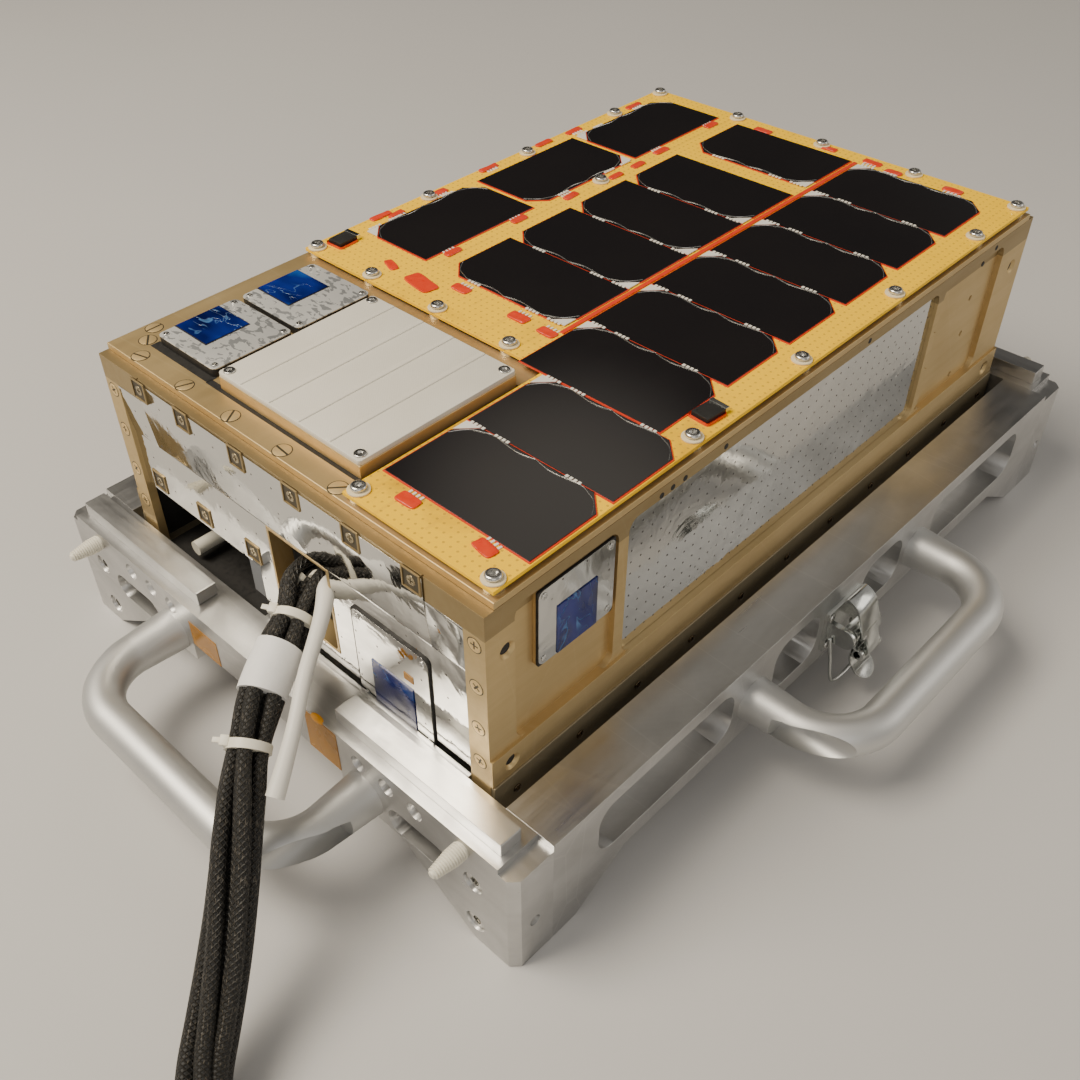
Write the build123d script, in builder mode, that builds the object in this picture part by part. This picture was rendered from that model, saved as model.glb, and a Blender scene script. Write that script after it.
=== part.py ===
from build123d import *
import os
from math import pi, radians, tan

# Small box satellite held in its aluminium handling cradle, millimetres.
# Origin on the floor under the middle of the cradle. +X runs along the body away from
# the harness end, -Y is the side with the long silver panel in view, +Z is up.

os.makedirs("parts", exist_ok=True)

# Satellite body
body_length = 366.0
body_width = 222.2
body_height = 105.0
wall = 5.5
flange_width = 10.0
flange_thickness = 4.0
panel_thickness = 3.0
panel_recess = 2.0
deck_thickness = 3.0
deck_inset = 4.5
frame_height = 11.0
frame_width = 14.0
frame_joint = 0.8
frame_joint_inset = 28.0
base_thickness = 4.0
rail_height = 17.0
rail_proud = 2.05
rail_depth = 9.0
ledge_height = 14.0
ledge_proud = 1.2
pocket_depth = 2.6
pocket_corner = 5.0

# Cradle
cradle_height = 58.5
deck_above_bar = 90.5
end_gap = 1.5
side_gap = 8.9
end_bar_width = 20.0
side_bar_width = 23.0
end_bar_depth = 33.0
end_arch_depth = 22.0
end_arch_length = 100.0
end_gusset_length = 38.0
end_foot_length = 21.0
side_bar_depth = 41.5
side_gusset_length = 28.0
side_foot_length = 12.5
seat_thickness = 6.0
seat_overlap = 8.0
corner_chamfer = 3.5
corner_step = 3.0
corner_step_length = 7.5
slot_depth = 12.0
slot_height = 26.0
slot_edge = 7.0
slot_corner = 9.0

# Handles
handle_pitch = 128.0
handle_reach = 47.2
side_reach = 44.7
grip_radius = 8.75
leg_radius = 10.0
handle_bend = 26.0
handle_below_bar = 23.5
scoop_radius = 7.0
scoop_shift = 2.5
scoop_floor = 14.0

# Heights and half sizes that follow from these
deck_z = cradle_height + deck_above_bar
body_z = deck_z - body_height
half_length = body_length / 2
half_width = body_width / 2
end_bar_inner = half_length + end_gap
end_bar_outer = end_bar_inner + end_bar_width
side_bar_inner = half_width + side_gap
side_bar_outer = side_bar_inner + side_bar_width
frame_z = deck_z - deck_thickness - frame_height
panel_x = half_length - panel_recess
panel_z = body_z + base_thickness
panel_height = frame_z - panel_z
ledge_z = body_z + rail_height

# Shallow bays in both long sides: distance of the first and the last bay from the body's
# ends, and the ribs between them
bay_margin_front = 13.6
bay_margin_rear = 24.5
front_bay_length = 51.6
rear_bay_length = 54.5
bay_rib = 5.4
rear_rib = 5.0
bay_top = 8.0
bay_bottom = 74.0
front_bay_start = bay_margin_front - half_length
long_bay_start = front_bay_start + front_bay_length + bay_rib
rear_bay_end = half_length - bay_margin_rear
rear_bay_start = rear_bay_end - rear_bay_length
# bays: start along X, end along X, top below the deck, bottom below the deck
bays = [
    (front_bay_start, front_bay_start + front_bay_length, bay_top, bay_bottom),
    (long_bay_start, rear_bay_start - rear_rib, bay_top, bay_bottom),
    (rear_bay_start, rear_bay_end, bay_top, bay_bottom),
]
sheet_bay = 1
bay_planes = []
for side in (-1, 1):
    for start, finish, top, bottom in bays:
        middle = ((start + finish) / 2, side * half_width, deck_z - (top + bottom) / 2)
        out = Plane(origin=middle, x_dir=(1, 0, 0), z_dir=(0, side, 0))
        bay_planes.append((side, out, finish - start, bottom - top))

# Deck plate, and the frame ring under it with its joints near the corners
with BuildPart() as deck_plate:
    with BuildSketch(Plane.XY.offset(deck_z - deck_thickness)):
        Rectangle(body_length - 2 * deck_inset, body_width)
    extrude(amount=deck_thickness)
deck_plate.part.label = "deck_plate"
export_step(deck_plate.part, "parts/deck_plate.step")

with BuildPart() as top_frame:
    with BuildSketch(Plane.XY.offset(frame_z)):
        Rectangle(body_length, body_width)
        Rectangle(body_length - 2 * frame_width, body_width - 2 * frame_width, mode=Mode.SUBTRACT)
        for end in (-1, 1):
            for side in (-1, 1):
                with Locations((end * half_length, side * (half_width - frame_joint_inset))):
                    Rectangle(2 * frame_joint, frame_joint, mode=Mode.SUBTRACT)
    extrude(amount=frame_height)
    for side, out, bay_length, bay_height in bay_planes:
        with BuildSketch(out):
            RectangleRounded(bay_length, bay_height, pocket_corner)
        extrude(amount=-pocket_depth, mode=Mode.SUBTRACT)
top_frame.part.label = "top_frame"
export_step(top_frame.part, "parts/top_frame.step")

# Milled side panels: a wall with turned-in end flanges, the bays, a ledge along the foot,
# four countersunk tapped holes near the corners and a grid of small tapped holes in the bare
# bay. Each pair of corner holes: drop below the deck, how far their face stands proud.
corner_hole_radius = 2.4
corner_sink = 1.3
corner_sink_angle = 45.0
corner_hole_inset = 10.0
corner_holes = [(25.0, 0.0), (81.5, ledge_proud)]
grid_hole_radius = 1.4
grid_hole_insets = [43.0, 79.5]
grid_hole_drops = [29.0, 48.0, 71.0]
for side, name in ((-1, "side_panel_near"), (1, "side_panel_far")):
    face_y = side * half_width
    with BuildPart() as side_panel:
        with BuildSketch(Plane.XY.offset(panel_z)):
            with Locations((0, side * (half_width - wall / 2))):
                Rectangle(body_length, wall)
            for end in (-1, 1):
                with Locations((end * (half_length - flange_thickness / 2),
                                side * (half_width - flange_width / 2))):
                    Rectangle(flange_thickness, flange_width)
        extrude(amount=panel_height)
        with BuildSketch(Plane.XY.offset(ledge_z)):
            with Locations((0, side * (half_width + ledge_proud / 2))):
                Rectangle(body_length, ledge_proud)
        extrude(amount=ledge_height)
        for bay_side, out, bay_length, bay_height in bay_planes:
            if bay_side == side:
                with BuildSketch(out):
                    RectangleRounded(bay_length, bay_height, pocket_corner)
                extrude(amount=-pocket_depth, mode=Mode.SUBTRACT)
        for drop, proud in corner_holes:
            hole_y = side * (half_width + proud)
            hole_face = Plane(origin=(0, hole_y, 0), x_dir=(-side, 0, 0), z_dir=(0, side, 0))
            hole_places = [(end * (half_length - corner_hole_inset), deck_z - drop) for end in (-1, 1)]
            with BuildSketch(hole_face):
                with Locations(*hole_places):
                    Circle(corner_hole_radius + corner_sink)
            extrude(amount=-corner_sink, taper=corner_sink_angle, mode=Mode.SUBTRACT)
            with BuildSketch(hole_face):
                with Locations(*hole_places):
                    Circle(corner_hole_radius)
            extrude(amount=-wall - proud, mode=Mode.SUBTRACT)
        with BuildSketch(Plane(origin=(0, face_y, 0), x_dir=(-side, 0, 0), z_dir=(0, side, 0))):
            for drop in grid_hole_drops:
                for inset in grid_hole_insets:
                    with Locations((-side * (half_length - inset), deck_z - drop)):
                        Circle(grid_hole_radius)
        extrude(amount=-wall, mode=Mode.SUBTRACT)
    side_panel.part.label = name
    export_step(side_panel.part, f"parts/{name}.step")

# Dark rails along the bottom edges
with BuildPart() as bottom_rails:
    for side in (-1, 1):
        with BuildSketch(Plane.XY.offset(body_z)):
            with Locations((0, side * (half_width + rail_proud - rail_depth / 2))):
                Rectangle(body_length, rail_depth)
        extrude(amount=base_thickness)
        with BuildSketch(Plane.XY.offset(panel_z)):
            with Locations((0, side * (half_width + rail_proud / 2))):
                Rectangle(body_length, rail_proud)
        extrude(amount=rail_height - base_thickness)
bottom_rails.part.label = "bottom_rails"
export_step(bottom_rails.part, "parts/bottom_rails.step")

base_width = 2 * (half_width + rail_proud - rail_depth)
with BuildPart() as base_plate:
    with BuildSketch(Plane.XY.offset(body_z)):
        Rectangle(2 * panel_x, base_width)
    extrude(amount=base_thickness)
base_plate.part.label = "base_plate"
export_step(base_plate.part, "parts/base_plate.step")

# End panels stand between the flanges. The harness end has a window and an open bay.
end_panel_width = 2 * (half_width - flange_width)
window_y = -8.0
window_width = 35.0
window_drop = 39.0
window_height = 42.0
window_corner = 2.0
open_bay_near = 79.7
open_bay_drop = 66.0
with BuildPart() as end_panel_front:
    with BuildSketch(Plane(origin=(-panel_x, 0, panel_z), x_dir=(0, 1, 0), z_dir=(1, 0, 0))):
        with Locations((0, panel_height / 2)):
            Rectangle(end_panel_width, panel_height)
        with Locations((window_y, deck_z - window_drop - window_height / 2 - panel_z)):
            RectangleRounded(window_width, window_height, window_corner, mode=Mode.SUBTRACT)
        open_height = deck_z - open_bay_drop - panel_z
        with Locations(((end_panel_width - open_bay_near) / 2, open_height / 2)):
            Rectangle(open_bay_near, open_height, mode=Mode.SUBTRACT)
    extrude(amount=panel_thickness)
end_panel_front.part.label = "end_panel_front"
export_step(end_panel_front.part, "parts/end_panel_front.step")

with BuildPart() as end_panel_rear:
    with BuildSketch(Plane(origin=(panel_x, 0, panel_z), x_dir=(0, -1, 0), z_dir=(-1, 0, 0))):
        with Locations((0, panel_height / 2)):
            Rectangle(end_panel_width, panel_height)
    extrude(amount=panel_thickness)
end_panel_rear.part.label = "end_panel_rear"
export_step(end_panel_rear.part, "parts/end_panel_rear.step")

# Small latches that hold the end panels' edges, one plate each.
# tabs on the harness end: face that they lie on, drop of the middle below the deck, Y
tab_width = 9.4
tab_height = 9.4
tab_thickness = 0.5
tab_top = 7.8
tab_foot = 59.5
tab_rows = [
    (half_length, tab_top, [82.3, 52.9, 17.8, -14.7, -47.3, -78.0]),
    (panel_x, tab_foot, [90.5, 57.4, 24.0]),
]
with BuildPart() as end_tabs:
    for end in (-1, 1):
        for face_x, drop, tab_ys in tab_rows:
            tab_face = Plane(origin=(end * face_x, 0, deck_z), x_dir=(0, end, 0), z_dir=(end, 0, 0))
            with BuildSketch(tab_face):
                with Locations(*[(end * y, -drop) for y in tab_ys]):
                    Rectangle(tab_width, tab_height)
            extrude(amount=tab_thickness)
end_tabs.part.label = "end_tabs"
export_step(end_tabs.part, "parts/end_tabs.step")

# Block of equipment inside, with the grey bracket and the nylon rod that show in the bay
equipment_setback = 63.0
equipment_start = equipment_setback - half_length
equipment_gap = 3.0
with BuildPart() as equipment_block:
    inner_end = panel_x - panel_thickness - equipment_gap
    with BuildSketch(Plane.XY.offset(panel_z)):
        with Locations(((equipment_start + inner_end) / 2, 0)):
            Rectangle(inner_end - equipment_start, 2 * (half_width - wall - equipment_gap))
    extrude(amount=frame_z - panel_z - equipment_gap)
equipment_block.part.label = "equipment_block"
export_step(equipment_block.part, "parts/equipment_block.step")

bracket_width = 21.0
bracket_thickness = 3.0
bracket_setback = 6.0
bracket_y = 35.0
with BuildPart() as bay_bracket:
    bracket_x = -panel_x + panel_thickness + bracket_setback
    with BuildSketch(Plane(origin=(bracket_x, bracket_y, panel_z), x_dir=(0, 1, 0), z_dir=(1, 0, 0))):
        with Locations((0, panel_height / 2)):
            Rectangle(bracket_width, panel_height)
    extrude(amount=bracket_thickness)
    with BuildSketch(Plane.XY.offset(panel_z)):
        with Locations(((bracket_x + equipment_start) / 2, bracket_y - bracket_width / 2)):
            Rectangle(equipment_start - bracket_x, bracket_thickness)
    extrude(amount=panel_height)
    outer_corner = bay_bracket.edges().filter_by(Axis.Z).sort_by(Axis.X)[0]
    fillet(outer_corner, bracket_thickness / 3)
bay_bracket.part.label = "bay_bracket"
export_step(bay_bracket.part, "parts/bay_bracket.step")

rod_radius = 3.4
rod_y = 80.0
rod_rise = 7.0
with BuildPart() as bay_rod:
    with BuildSketch(Plane(origin=(equipment_start, rod_y, panel_z + rod_rise), z_dir=(-1, 0, 0))):
        Circle(rod_radius)
    extrude(amount=equipment_setback - panel_recess - panel_thickness)
bay_rod.part.label = "bay_rod"
export_step(bay_rod.part, "parts/bay_rod.step")

# Solar board: an L-shaped plate on washers, with its notch over the antenna
board_thickness = 1.6
board_gap = 1.7
board_edge = 1.2
board_notch = 101.3
board_arm = 72.4
board_z = deck_z + board_gap
board_end = half_length - deck_inset - board_edge
board_start = -board_end
board_side = half_width - board_edge
board_notch_x = board_start + board_notch
board_notch_y = board_arm - board_side
with BuildPart() as solar_board:
    with BuildSketch(Plane.XY.offset(board_z)):
        with BuildLine():
            Polyline(
                (board_start, -board_side),
                (board_end, -board_side),
                (board_end, board_side),
                (board_notch_x, board_side),
                (board_notch_x, board_notch_y),
                (board_start, board_notch_y),
                close=True,
            )
        make_face()
    extrude(amount=board_thickness)
solar_board.part.label = "solar_board"
export_step(solar_board.part, "parts/solar_board.step")

# Washers under the board's screws: rows along both long edges from the notch to the far
# end, one row down the far end, one down the notch, two on the arm and one in the middle
washer_radius = 3.8
washer_inset = 4.3
washer_pitch = 68.7
washer_end_pitch = 52.6
washer_notch_start = 22.8
washer_notch_pitch = 41.5
washer_middle_inset = 53.8
washer_side = board_side - washer_inset
washer_far_x = board_end - washer_inset
washer_notch_x = board_notch_x + washer_radius
washer_rows = [washer_notch_x + count * washer_pitch for count in range(4)]
washer_rows += [washer_far_x]
washer_places = [(x, side * washer_side) for x in washer_rows for side in (-1, 1)]
washer_places += [(washer_far_x, step * washer_end_pitch) for step in (-1, 0, 1)]
washer_places += [(washer_notch_x, board_notch_y + washer_notch_start + count * washer_notch_pitch)
                  for count in range(3)]
washer_places += [(board_start + washer_inset, -washer_side)]
washer_places += [(board_start + washer_inset, board_notch_y - washer_radius)]
washer_places += [(washer_rows[2], board_side - washer_middle_inset)]
with BuildPart() as board_washers:
    with BuildSketch(Plane.XY.offset(deck_z)):
        with Locations(*washer_places):
            Circle(washer_radius)
    extrude(amount=board_gap)
board_washers.part.label = "board_washers"
export_step(board_washers.part, "parts/board_washers.step")

# Solar cells with two cropped corners, in four groups
cell_long = 68.95
cell_short = 39.7
cell_pitch = 40.53
edge_pitch = 72.2
cell_crop = 7.75
cell_thickness = 0.7
pair_margin_x = 17.4
pair_margin_y = 1.2
near_start = 2.2
near_margin = 14.4
far_start = 28.5
far_gap = 11.0
column_gap = 4.75
edge_margin = 9.6
cell_z = board_z + board_thickness
near_low = near_margin - board_side
far_low = near_low + cell_long + column_gap
edge_low = board_side - edge_margin - cell_short
far_x = board_notch_x + far_start
far_places = [(far_x + count * cell_pitch, far_low) for count in range(4)]
far_places += [(far_x + 4 * cell_pitch + far_gap, far_low)]
# groups: node, low corners, size along X, size along Y, side of the crops
cell_groups = [
    ("cells_corner_pair",
     [(board_start + pair_margin_x + count * cell_pitch, pair_margin_y - board_side) for count in range(2)],
     cell_short, cell_long, "+X"),
    ("cells_near_column",
     [(board_notch_x - near_start + count * cell_pitch, near_low) for count in range(6)],
     cell_short, cell_long, "+X"),
    ("cells_far_column", far_places, cell_short, cell_long, "-X"),
    ("cells_edge_row", [(far_x + count * edge_pitch, edge_low) for count in range(3)],
     cell_long, cell_short, "+Y"),
]
for node, corners, size_x, size_y, crops in cell_groups:
    with BuildPart() as cells:
        for left, low in corners:
            right = left + size_x
            high = low + size_y
            with BuildSketch(Plane.XY.offset(cell_z)):
                with BuildLine():
                    if crops == "+X":
                        Polyline((left, low), (right - cell_crop, low), (right, low + cell_crop),
                                 (right, high - cell_crop), (right - cell_crop, high), (left, high),
                                 close=True)
                    elif crops == "-X":
                        Polyline((right, low), (left + cell_crop, low), (left, low + cell_crop),
                                 (left, high - cell_crop), (left + cell_crop, high), (right, high),
                                 close=True)
                    else:
                        Polyline((left, low), (right, low), (right, high - cell_crop),
                                 (right - cell_crop, high), (left + cell_crop, high),
                                 (left, high - cell_crop), close=True)
                make_face()
            extrude(amount=cell_thickness)
    cells.part.label = node
    export_step(cells.part, f"parts/{node}.step")

# Two small circuit packages on the board
chip_length = 11.5
chip_width = 8.0
chip_height = 2.4
chip_inset = 8.6
near_chip_start = 19.4
far_chip_start = 15.8
chip_places = [(board_notch_x + near_chip_start, chip_inset - board_side),
               (board_notch_x + far_chip_start, board_side - chip_inset)]
with BuildPart() as board_chips:
    with BuildSketch(Plane.XY.offset(cell_z)):
        with Locations(*chip_places):
            Rectangle(chip_length, chip_width)
    extrude(amount=chip_height)
board_chips.part.label = "board_chips"
export_step(board_chips.part, "parts/board_chips.step")

# Patch antenna in the board's notch: a bronze block with a white cover in four low strips
antenna_size_x = 78.0
antenna_size_y = 83.0
antenna_margin_x = 12.5
antenna_margin_y = 3.0
antenna_base = 6.0
antenna_cover = 2.5
strip_pitch = 20.75
strip_gap = 0.8
strip_gap_depth = 0.5
antenna_x = board_notch_x - antenna_margin_x - antenna_size_x / 2
antenna_y = board_notch_y + antenna_margin_y + antenna_size_y / 2
with BuildPart() as antenna_block:
    with BuildSketch(Plane.XY.offset(deck_z)):
        with Locations((antenna_x, antenna_y)):
            Rectangle(antenna_size_x, antenna_size_y)
    extrude(amount=antenna_base)
antenna_block.part.label = "antenna_block"
export_step(antenna_block.part, "parts/antenna_block.step")

with BuildPart() as antenna_plate:
    with BuildSketch(Plane.XY.offset(deck_z + antenna_base)):
        with Locations((antenna_x, antenna_y)):
            Rectangle(antenna_size_x, antenna_size_y)
    extrude(amount=antenna_cover)
    with BuildSketch(Plane.XY.offset(deck_z + antenna_base + antenna_cover)):
        for step in (-1, 0, 1):
            with Locations((antenna_x, antenna_y + step * strip_pitch)):
                Rectangle(antenna_size_x, strip_gap)
    extrude(amount=-strip_gap_depth, mode=Mode.SUBTRACT)
antenna_plate.part.label = "antenna_plate"
export_step(antenna_plate.part, "parts/antenna_plate.step")

# Two sensor heads beside the antenna, each with a film window
head_size = 39.0
head_height = 4.0
head_gap = 2.5
head_corner = 3.0
head_clearance = 7.5
head_shift = 3.8
film_size = 21.0
film_thickness = 0.4
film_shift = 8.6
head_y = antenna_y + antenna_size_y / 2 + head_clearance + head_size / 2
head_places = [(antenna_x + head_shift + end * (head_size + head_gap) / 2, head_y) for end in (-1, 1)]
with BuildPart() as sensor_heads:
    with BuildSketch(Plane.XY.offset(deck_z)):
        with Locations(*head_places):
            RectangleRounded(head_size, head_size, head_corner)
    extrude(amount=head_height)
sensor_heads.part.label = "sensor_heads"
export_step(sensor_heads.part, "parts/sensor_heads.step")

with BuildPart() as head_films:
    with BuildSketch(Plane.XY.offset(deck_z + head_height)):
        with Locations(*[(x, y + film_shift) for x, y in head_places]):
            Rectangle(film_size, film_size)
    extrude(amount=film_thickness)
head_films.part.label = "head_films"
export_step(head_films.part, "parts/head_films.step")

# Sensor cover plates on the near side and on the harness end, each with a film window
plate_proud = 0.8
side_plate_proud = 0.2
side_plate_inset = 43.9
side_plate_drop = 27.2
side_plate_length = 38.6
side_plate_height = 34.6
side_film_length = 20.4
side_film_height = 22.4
side_film_shift = 5.8
side_plate_place = (side_plate_inset - half_length, -half_width + pocket_depth, deck_z - side_plate_drop)
end_plate_inset = 41.6
end_plate_drop = 71.0
end_plate_length = 41.0
end_plate_height = 48.0
end_film_length = 23.0
end_film_height = 26.0
end_film_shift = 10.5
end_plate_place = (-panel_x, end_plate_inset - end_panel_width / 2, deck_z - end_plate_drop)
with BuildPart() as sensor_plates:
    with BuildSketch(Plane(origin=side_plate_place, x_dir=(1, 0, 0), z_dir=(0, -1, 0))):
        RectangleRounded(side_plate_length, side_plate_height, head_corner)
    extrude(amount=pocket_depth + side_plate_proud)
    with BuildSketch(Plane(origin=end_plate_place, x_dir=(0, -1, 0), z_dir=(-1, 0, 0))):
        RectangleRounded(end_plate_length, end_plate_height, head_corner)
    extrude(amount=plate_proud)
sensor_plates.part.label = "sensor_plates"
export_step(sensor_plates.part, "parts/sensor_plates.step")

with BuildPart() as plate_films:
    side_face = Plane(origin=side_plate_place, x_dir=(1, 0, 0), z_dir=(0, -1, 0))
    with BuildSketch(side_face.offset(pocket_depth + side_plate_proud)):
        with Locations((0, -side_film_shift)):
            Rectangle(side_film_length, side_film_height)
    extrude(amount=film_thickness)
    end_face = Plane(origin=end_plate_place, x_dir=(0, -1, 0), z_dir=(-1, 0, 0))
    with BuildSketch(end_face.offset(plate_proud)):
        with Locations((0, -end_film_shift)):
            Rectangle(end_film_length, end_film_height)
    extrude(amount=film_thickness)
plate_films.part.label = "plate_films"
export_step(plate_films.part, "parts/plate_films.step")

# Silver sheets in the long bays
sheet_thickness = 0.8
sheet_margin = 0.2
with BuildPart() as silver_sheets:
    start, finish, top, bottom = bays[sheet_bay]
    for side in (-1, 1):
        place = ((start + finish) / 2, side * (half_width - pocket_depth), deck_z - (top + bottom) / 2)
        with BuildSketch(Plane(origin=place, x_dir=(1, 0, 0), z_dir=(0, side, 0))):
            RectangleRounded(finish - start - 2 * sheet_margin, bottom - top - 2 * sheet_margin, pocket_corner)
        extrude(amount=sheet_thickness)
silver_sheets.part.label = "silver_sheets"
export_step(silver_sheets.part, "parts/silver_sheets.step")

# Cradle end bars: a bridge on two corner feet with an arch in the middle, a step at each
# corner, a long slot and a row of holes on each side, and counterbored corner screws
end_bar_z = cradle_height - end_bar_depth
end_arch_z = cradle_height - end_arch_depth
foot_y = side_bar_outer - end_foot_length
row_radius = 4.0
row_drop = 8.0
row_start = 62.0
row_pitch = 15.5
row_places = [row_start + count * row_pitch for count in range(3)]
row_depth = 9.0
end_slot_start = 77.0
end_slot_end = 111.0
end_slot_height = 13.0
end_slot_drop = 25.0
screw_inset = 20.5
screw_drops = [22.0, 47.5]
counterbore_radius = 4.8
counterbore_depth = 6.0
screw_hole_radius = 3.3
end_hole_radius = 2.5
end_hole_z = 23.0
end_hole_inset = 10.5
end_hole_depth = 12.0
for end, name in ((-1, "cradle_bar_front"), (1, "cradle_bar_rear")):
    face = Plane(origin=(end * end_bar_outer, 0, cradle_height), x_dir=(0, end, 0), z_dir=(end, 0, 0))
    with BuildPart() as end_bar:
        with BuildSketch(Plane(origin=(end * end_bar_inner, 0, 0), x_dir=(0, end, 0), z_dir=(end, 0, 0))):
            with BuildLine():
                Polyline(
                    (side_bar_outer, 0),
                    (side_bar_outer, cradle_height - corner_step),
                    (side_bar_outer - corner_step_length, cradle_height - corner_step),
                    (side_bar_outer - corner_step_length, cradle_height),
                    (-side_bar_outer + corner_step_length, cradle_height),
                    (-side_bar_outer + corner_step_length, cradle_height - corner_step),
                    (-side_bar_outer, cradle_height - corner_step),
                    (-side_bar_outer, 0),
                    (-foot_y, 0),
                    (-foot_y + end_gusset_length, end_bar_z),
                    (-end_arch_length / 2, end_bar_z),
                    (-end_arch_length / 2, end_arch_z),
                    (end_arch_length / 2, end_arch_z),
                    (end_arch_length / 2, end_bar_z),
                    (foot_y - end_gusset_length, end_bar_z),
                    (foot_y, 0),
                    close=True,
                )
            make_face()
        extrude(amount=end_bar_width)
        outer_edges = end_bar.edges().filter_by(Axis.Z).group_by(Axis.Y)
        corners = [group.sort_by(Axis.X)[-1 if end > 0 else 0] for group in (outer_edges[0], outer_edges[-1])]
        chamfer(corners, corner_chamfer)
        with BuildSketch(face):
            for side in (-1, 1):
                with Locations((side * (end_slot_start + end_slot_end) / 2, -end_slot_drop)):
                    SlotOverall(end_slot_end - end_slot_start, end_slot_height)
        extrude(amount=-end_bar_width, mode=Mode.SUBTRACT)
        with BuildSketch(face):
            with Locations(*[(side * y, -row_drop) for y in row_places for side in (-1, 1)]):
                Circle(row_radius)
        extrude(amount=-row_depth, mode=Mode.SUBTRACT)
        screw_y = side_bar_outer - screw_inset
        with BuildSketch(face):
            with Locations(*[(side * screw_y, -drop) for drop in screw_drops for side in (-1, 1)]):
                Circle(counterbore_radius)
        extrude(amount=-counterbore_depth, mode=Mode.SUBTRACT)
        with BuildSketch(face):
            with Locations(*[(side * screw_y, -drop) for drop in screw_drops for side in (-1, 1)]):
                Circle(screw_hole_radius)
        extrude(amount=-end_bar_width, mode=Mode.SUBTRACT)
        for side in (-1, 1):
            end_hole = (end * (end_bar_outer - end_hole_inset), side * side_bar_outer, end_hole_z)
            with BuildSketch(Plane(origin=end_hole, z_dir=(0, side, 0))):
                Circle(end_hole_radius)
            extrude(amount=-end_hole_depth, mode=Mode.SUBTRACT)
    end_bar.part.label = name
    export_step(end_bar.part, f"parts/{name}.step")

# Cradle side bars: long pockets outside, a seat inside for the body's rails
side_bar_z = cradle_height - side_bar_depth
foot_x = end_bar_inner - side_foot_length
# pockets on the outer face: middle along X, length
side_slots = [(-119.0, 82.0), (-33.5, 33.0), (33.5, 33.0), (119.0, 82.0)]
for side, name in ((-1, "cradle_bar_near"), (1, "cradle_bar_far")):
    with BuildPart() as side_bar:
        with BuildSketch(Plane(origin=(0, side * side_bar_inner, 0), x_dir=(-side, 0, 0), z_dir=(0, side, 0))):
            with BuildLine():
                Polyline(
                    (end_bar_inner, 0),
                    (end_bar_inner, cradle_height),
                    (-end_bar_inner, cradle_height),
                    (-end_bar_inner, 0),
                    (-foot_x, 0),
                    (-foot_x + side_gusset_length, side_bar_z),
                    (foot_x - side_gusset_length, side_bar_z),
                    (foot_x, 0),
                    close=True,
                )
            make_face()
        extrude(amount=side_bar_width)
        with BuildSketch(Plane.XY.offset(body_z - seat_thickness)):
            with Locations((0, side * (side_bar_inner - (side_gap + seat_overlap) / 2))):
                Rectangle(2 * end_bar_inner, side_gap + seat_overlap)
        extrude(amount=seat_thickness)
        with BuildSketch(Plane(origin=(0, side * side_bar_outer, cradle_height - slot_edge - slot_height / 2),
                               x_dir=(1, 0, 0), z_dir=(0, side, 0))):
            for middle_x, length in side_slots:
                with Locations((middle_x, 0)):
                    RectangleRounded(length, slot_height, slot_corner)
        extrude(amount=-slot_depth, mode=Mode.SUBTRACT)
    side_bar.part.label = name
    export_step(side_bar.part, f"parts/{name}.step")

# Cap screws in the end bars' counterbores
cap_radius = 4.2
cap_height = 5.0
cap_socket_radius = 2.2
cap_socket_depth = 2.6
cap_shank_radius = 3.0
cap_shank_length = 12.0
with BuildPart() as corner_screws:
    for end in (-1, 1):
        seat = Plane(origin=(end * (end_bar_outer - counterbore_depth), 0, cradle_height),
                     x_dir=(0, end, 0), z_dir=(end, 0, 0))
        screw_places = [(side * screw_y, -drop) for drop in screw_drops for side in (-1, 1)]
        with BuildSketch(seat):
            with Locations(*screw_places):
                Circle(cap_radius)
        extrude(amount=cap_height)
        with BuildSketch(seat.offset(cap_height)):
            with Locations(*screw_places):
                RegularPolygon(cap_socket_radius, 6)
        extrude(amount=-cap_socket_depth, mode=Mode.SUBTRACT)
        with BuildSketch(seat):
            with Locations(*screw_places):
                Circle(cap_shank_radius)
        extrude(amount=-cap_shank_length)
corner_screws.part.label = "corner_screws"
export_step(corner_screws.part, "parts/corner_screws.step")

# Raised ledges on the end bars
ledge_rise = 6.5
ledge_width = 10.0
ledge_setback = 4.5
ledge_start = 45.0
ledge_end = 133.0
with BuildPart() as cradle_ledges:
    with BuildSketch(Plane.XY.offset(cradle_height)):
        for end in (-1, 1):
            for side in (-1, 1):
                with Locations((end * (end_bar_outer - ledge_setback - ledge_width / 2),
                                side * (ledge_start + ledge_end) / 2)):
                    Rectangle(ledge_width, ledge_end - ledge_start)
    extrude(amount=ledge_rise)
cradle_ledges.part.label = "cradle_ledges"
export_step(cradle_ledges.part, "parts/cradle_ledges.step")

# Four bow handles with a scooped screw hole along each leg
handle_z = cradle_height - handle_below_bar
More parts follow.
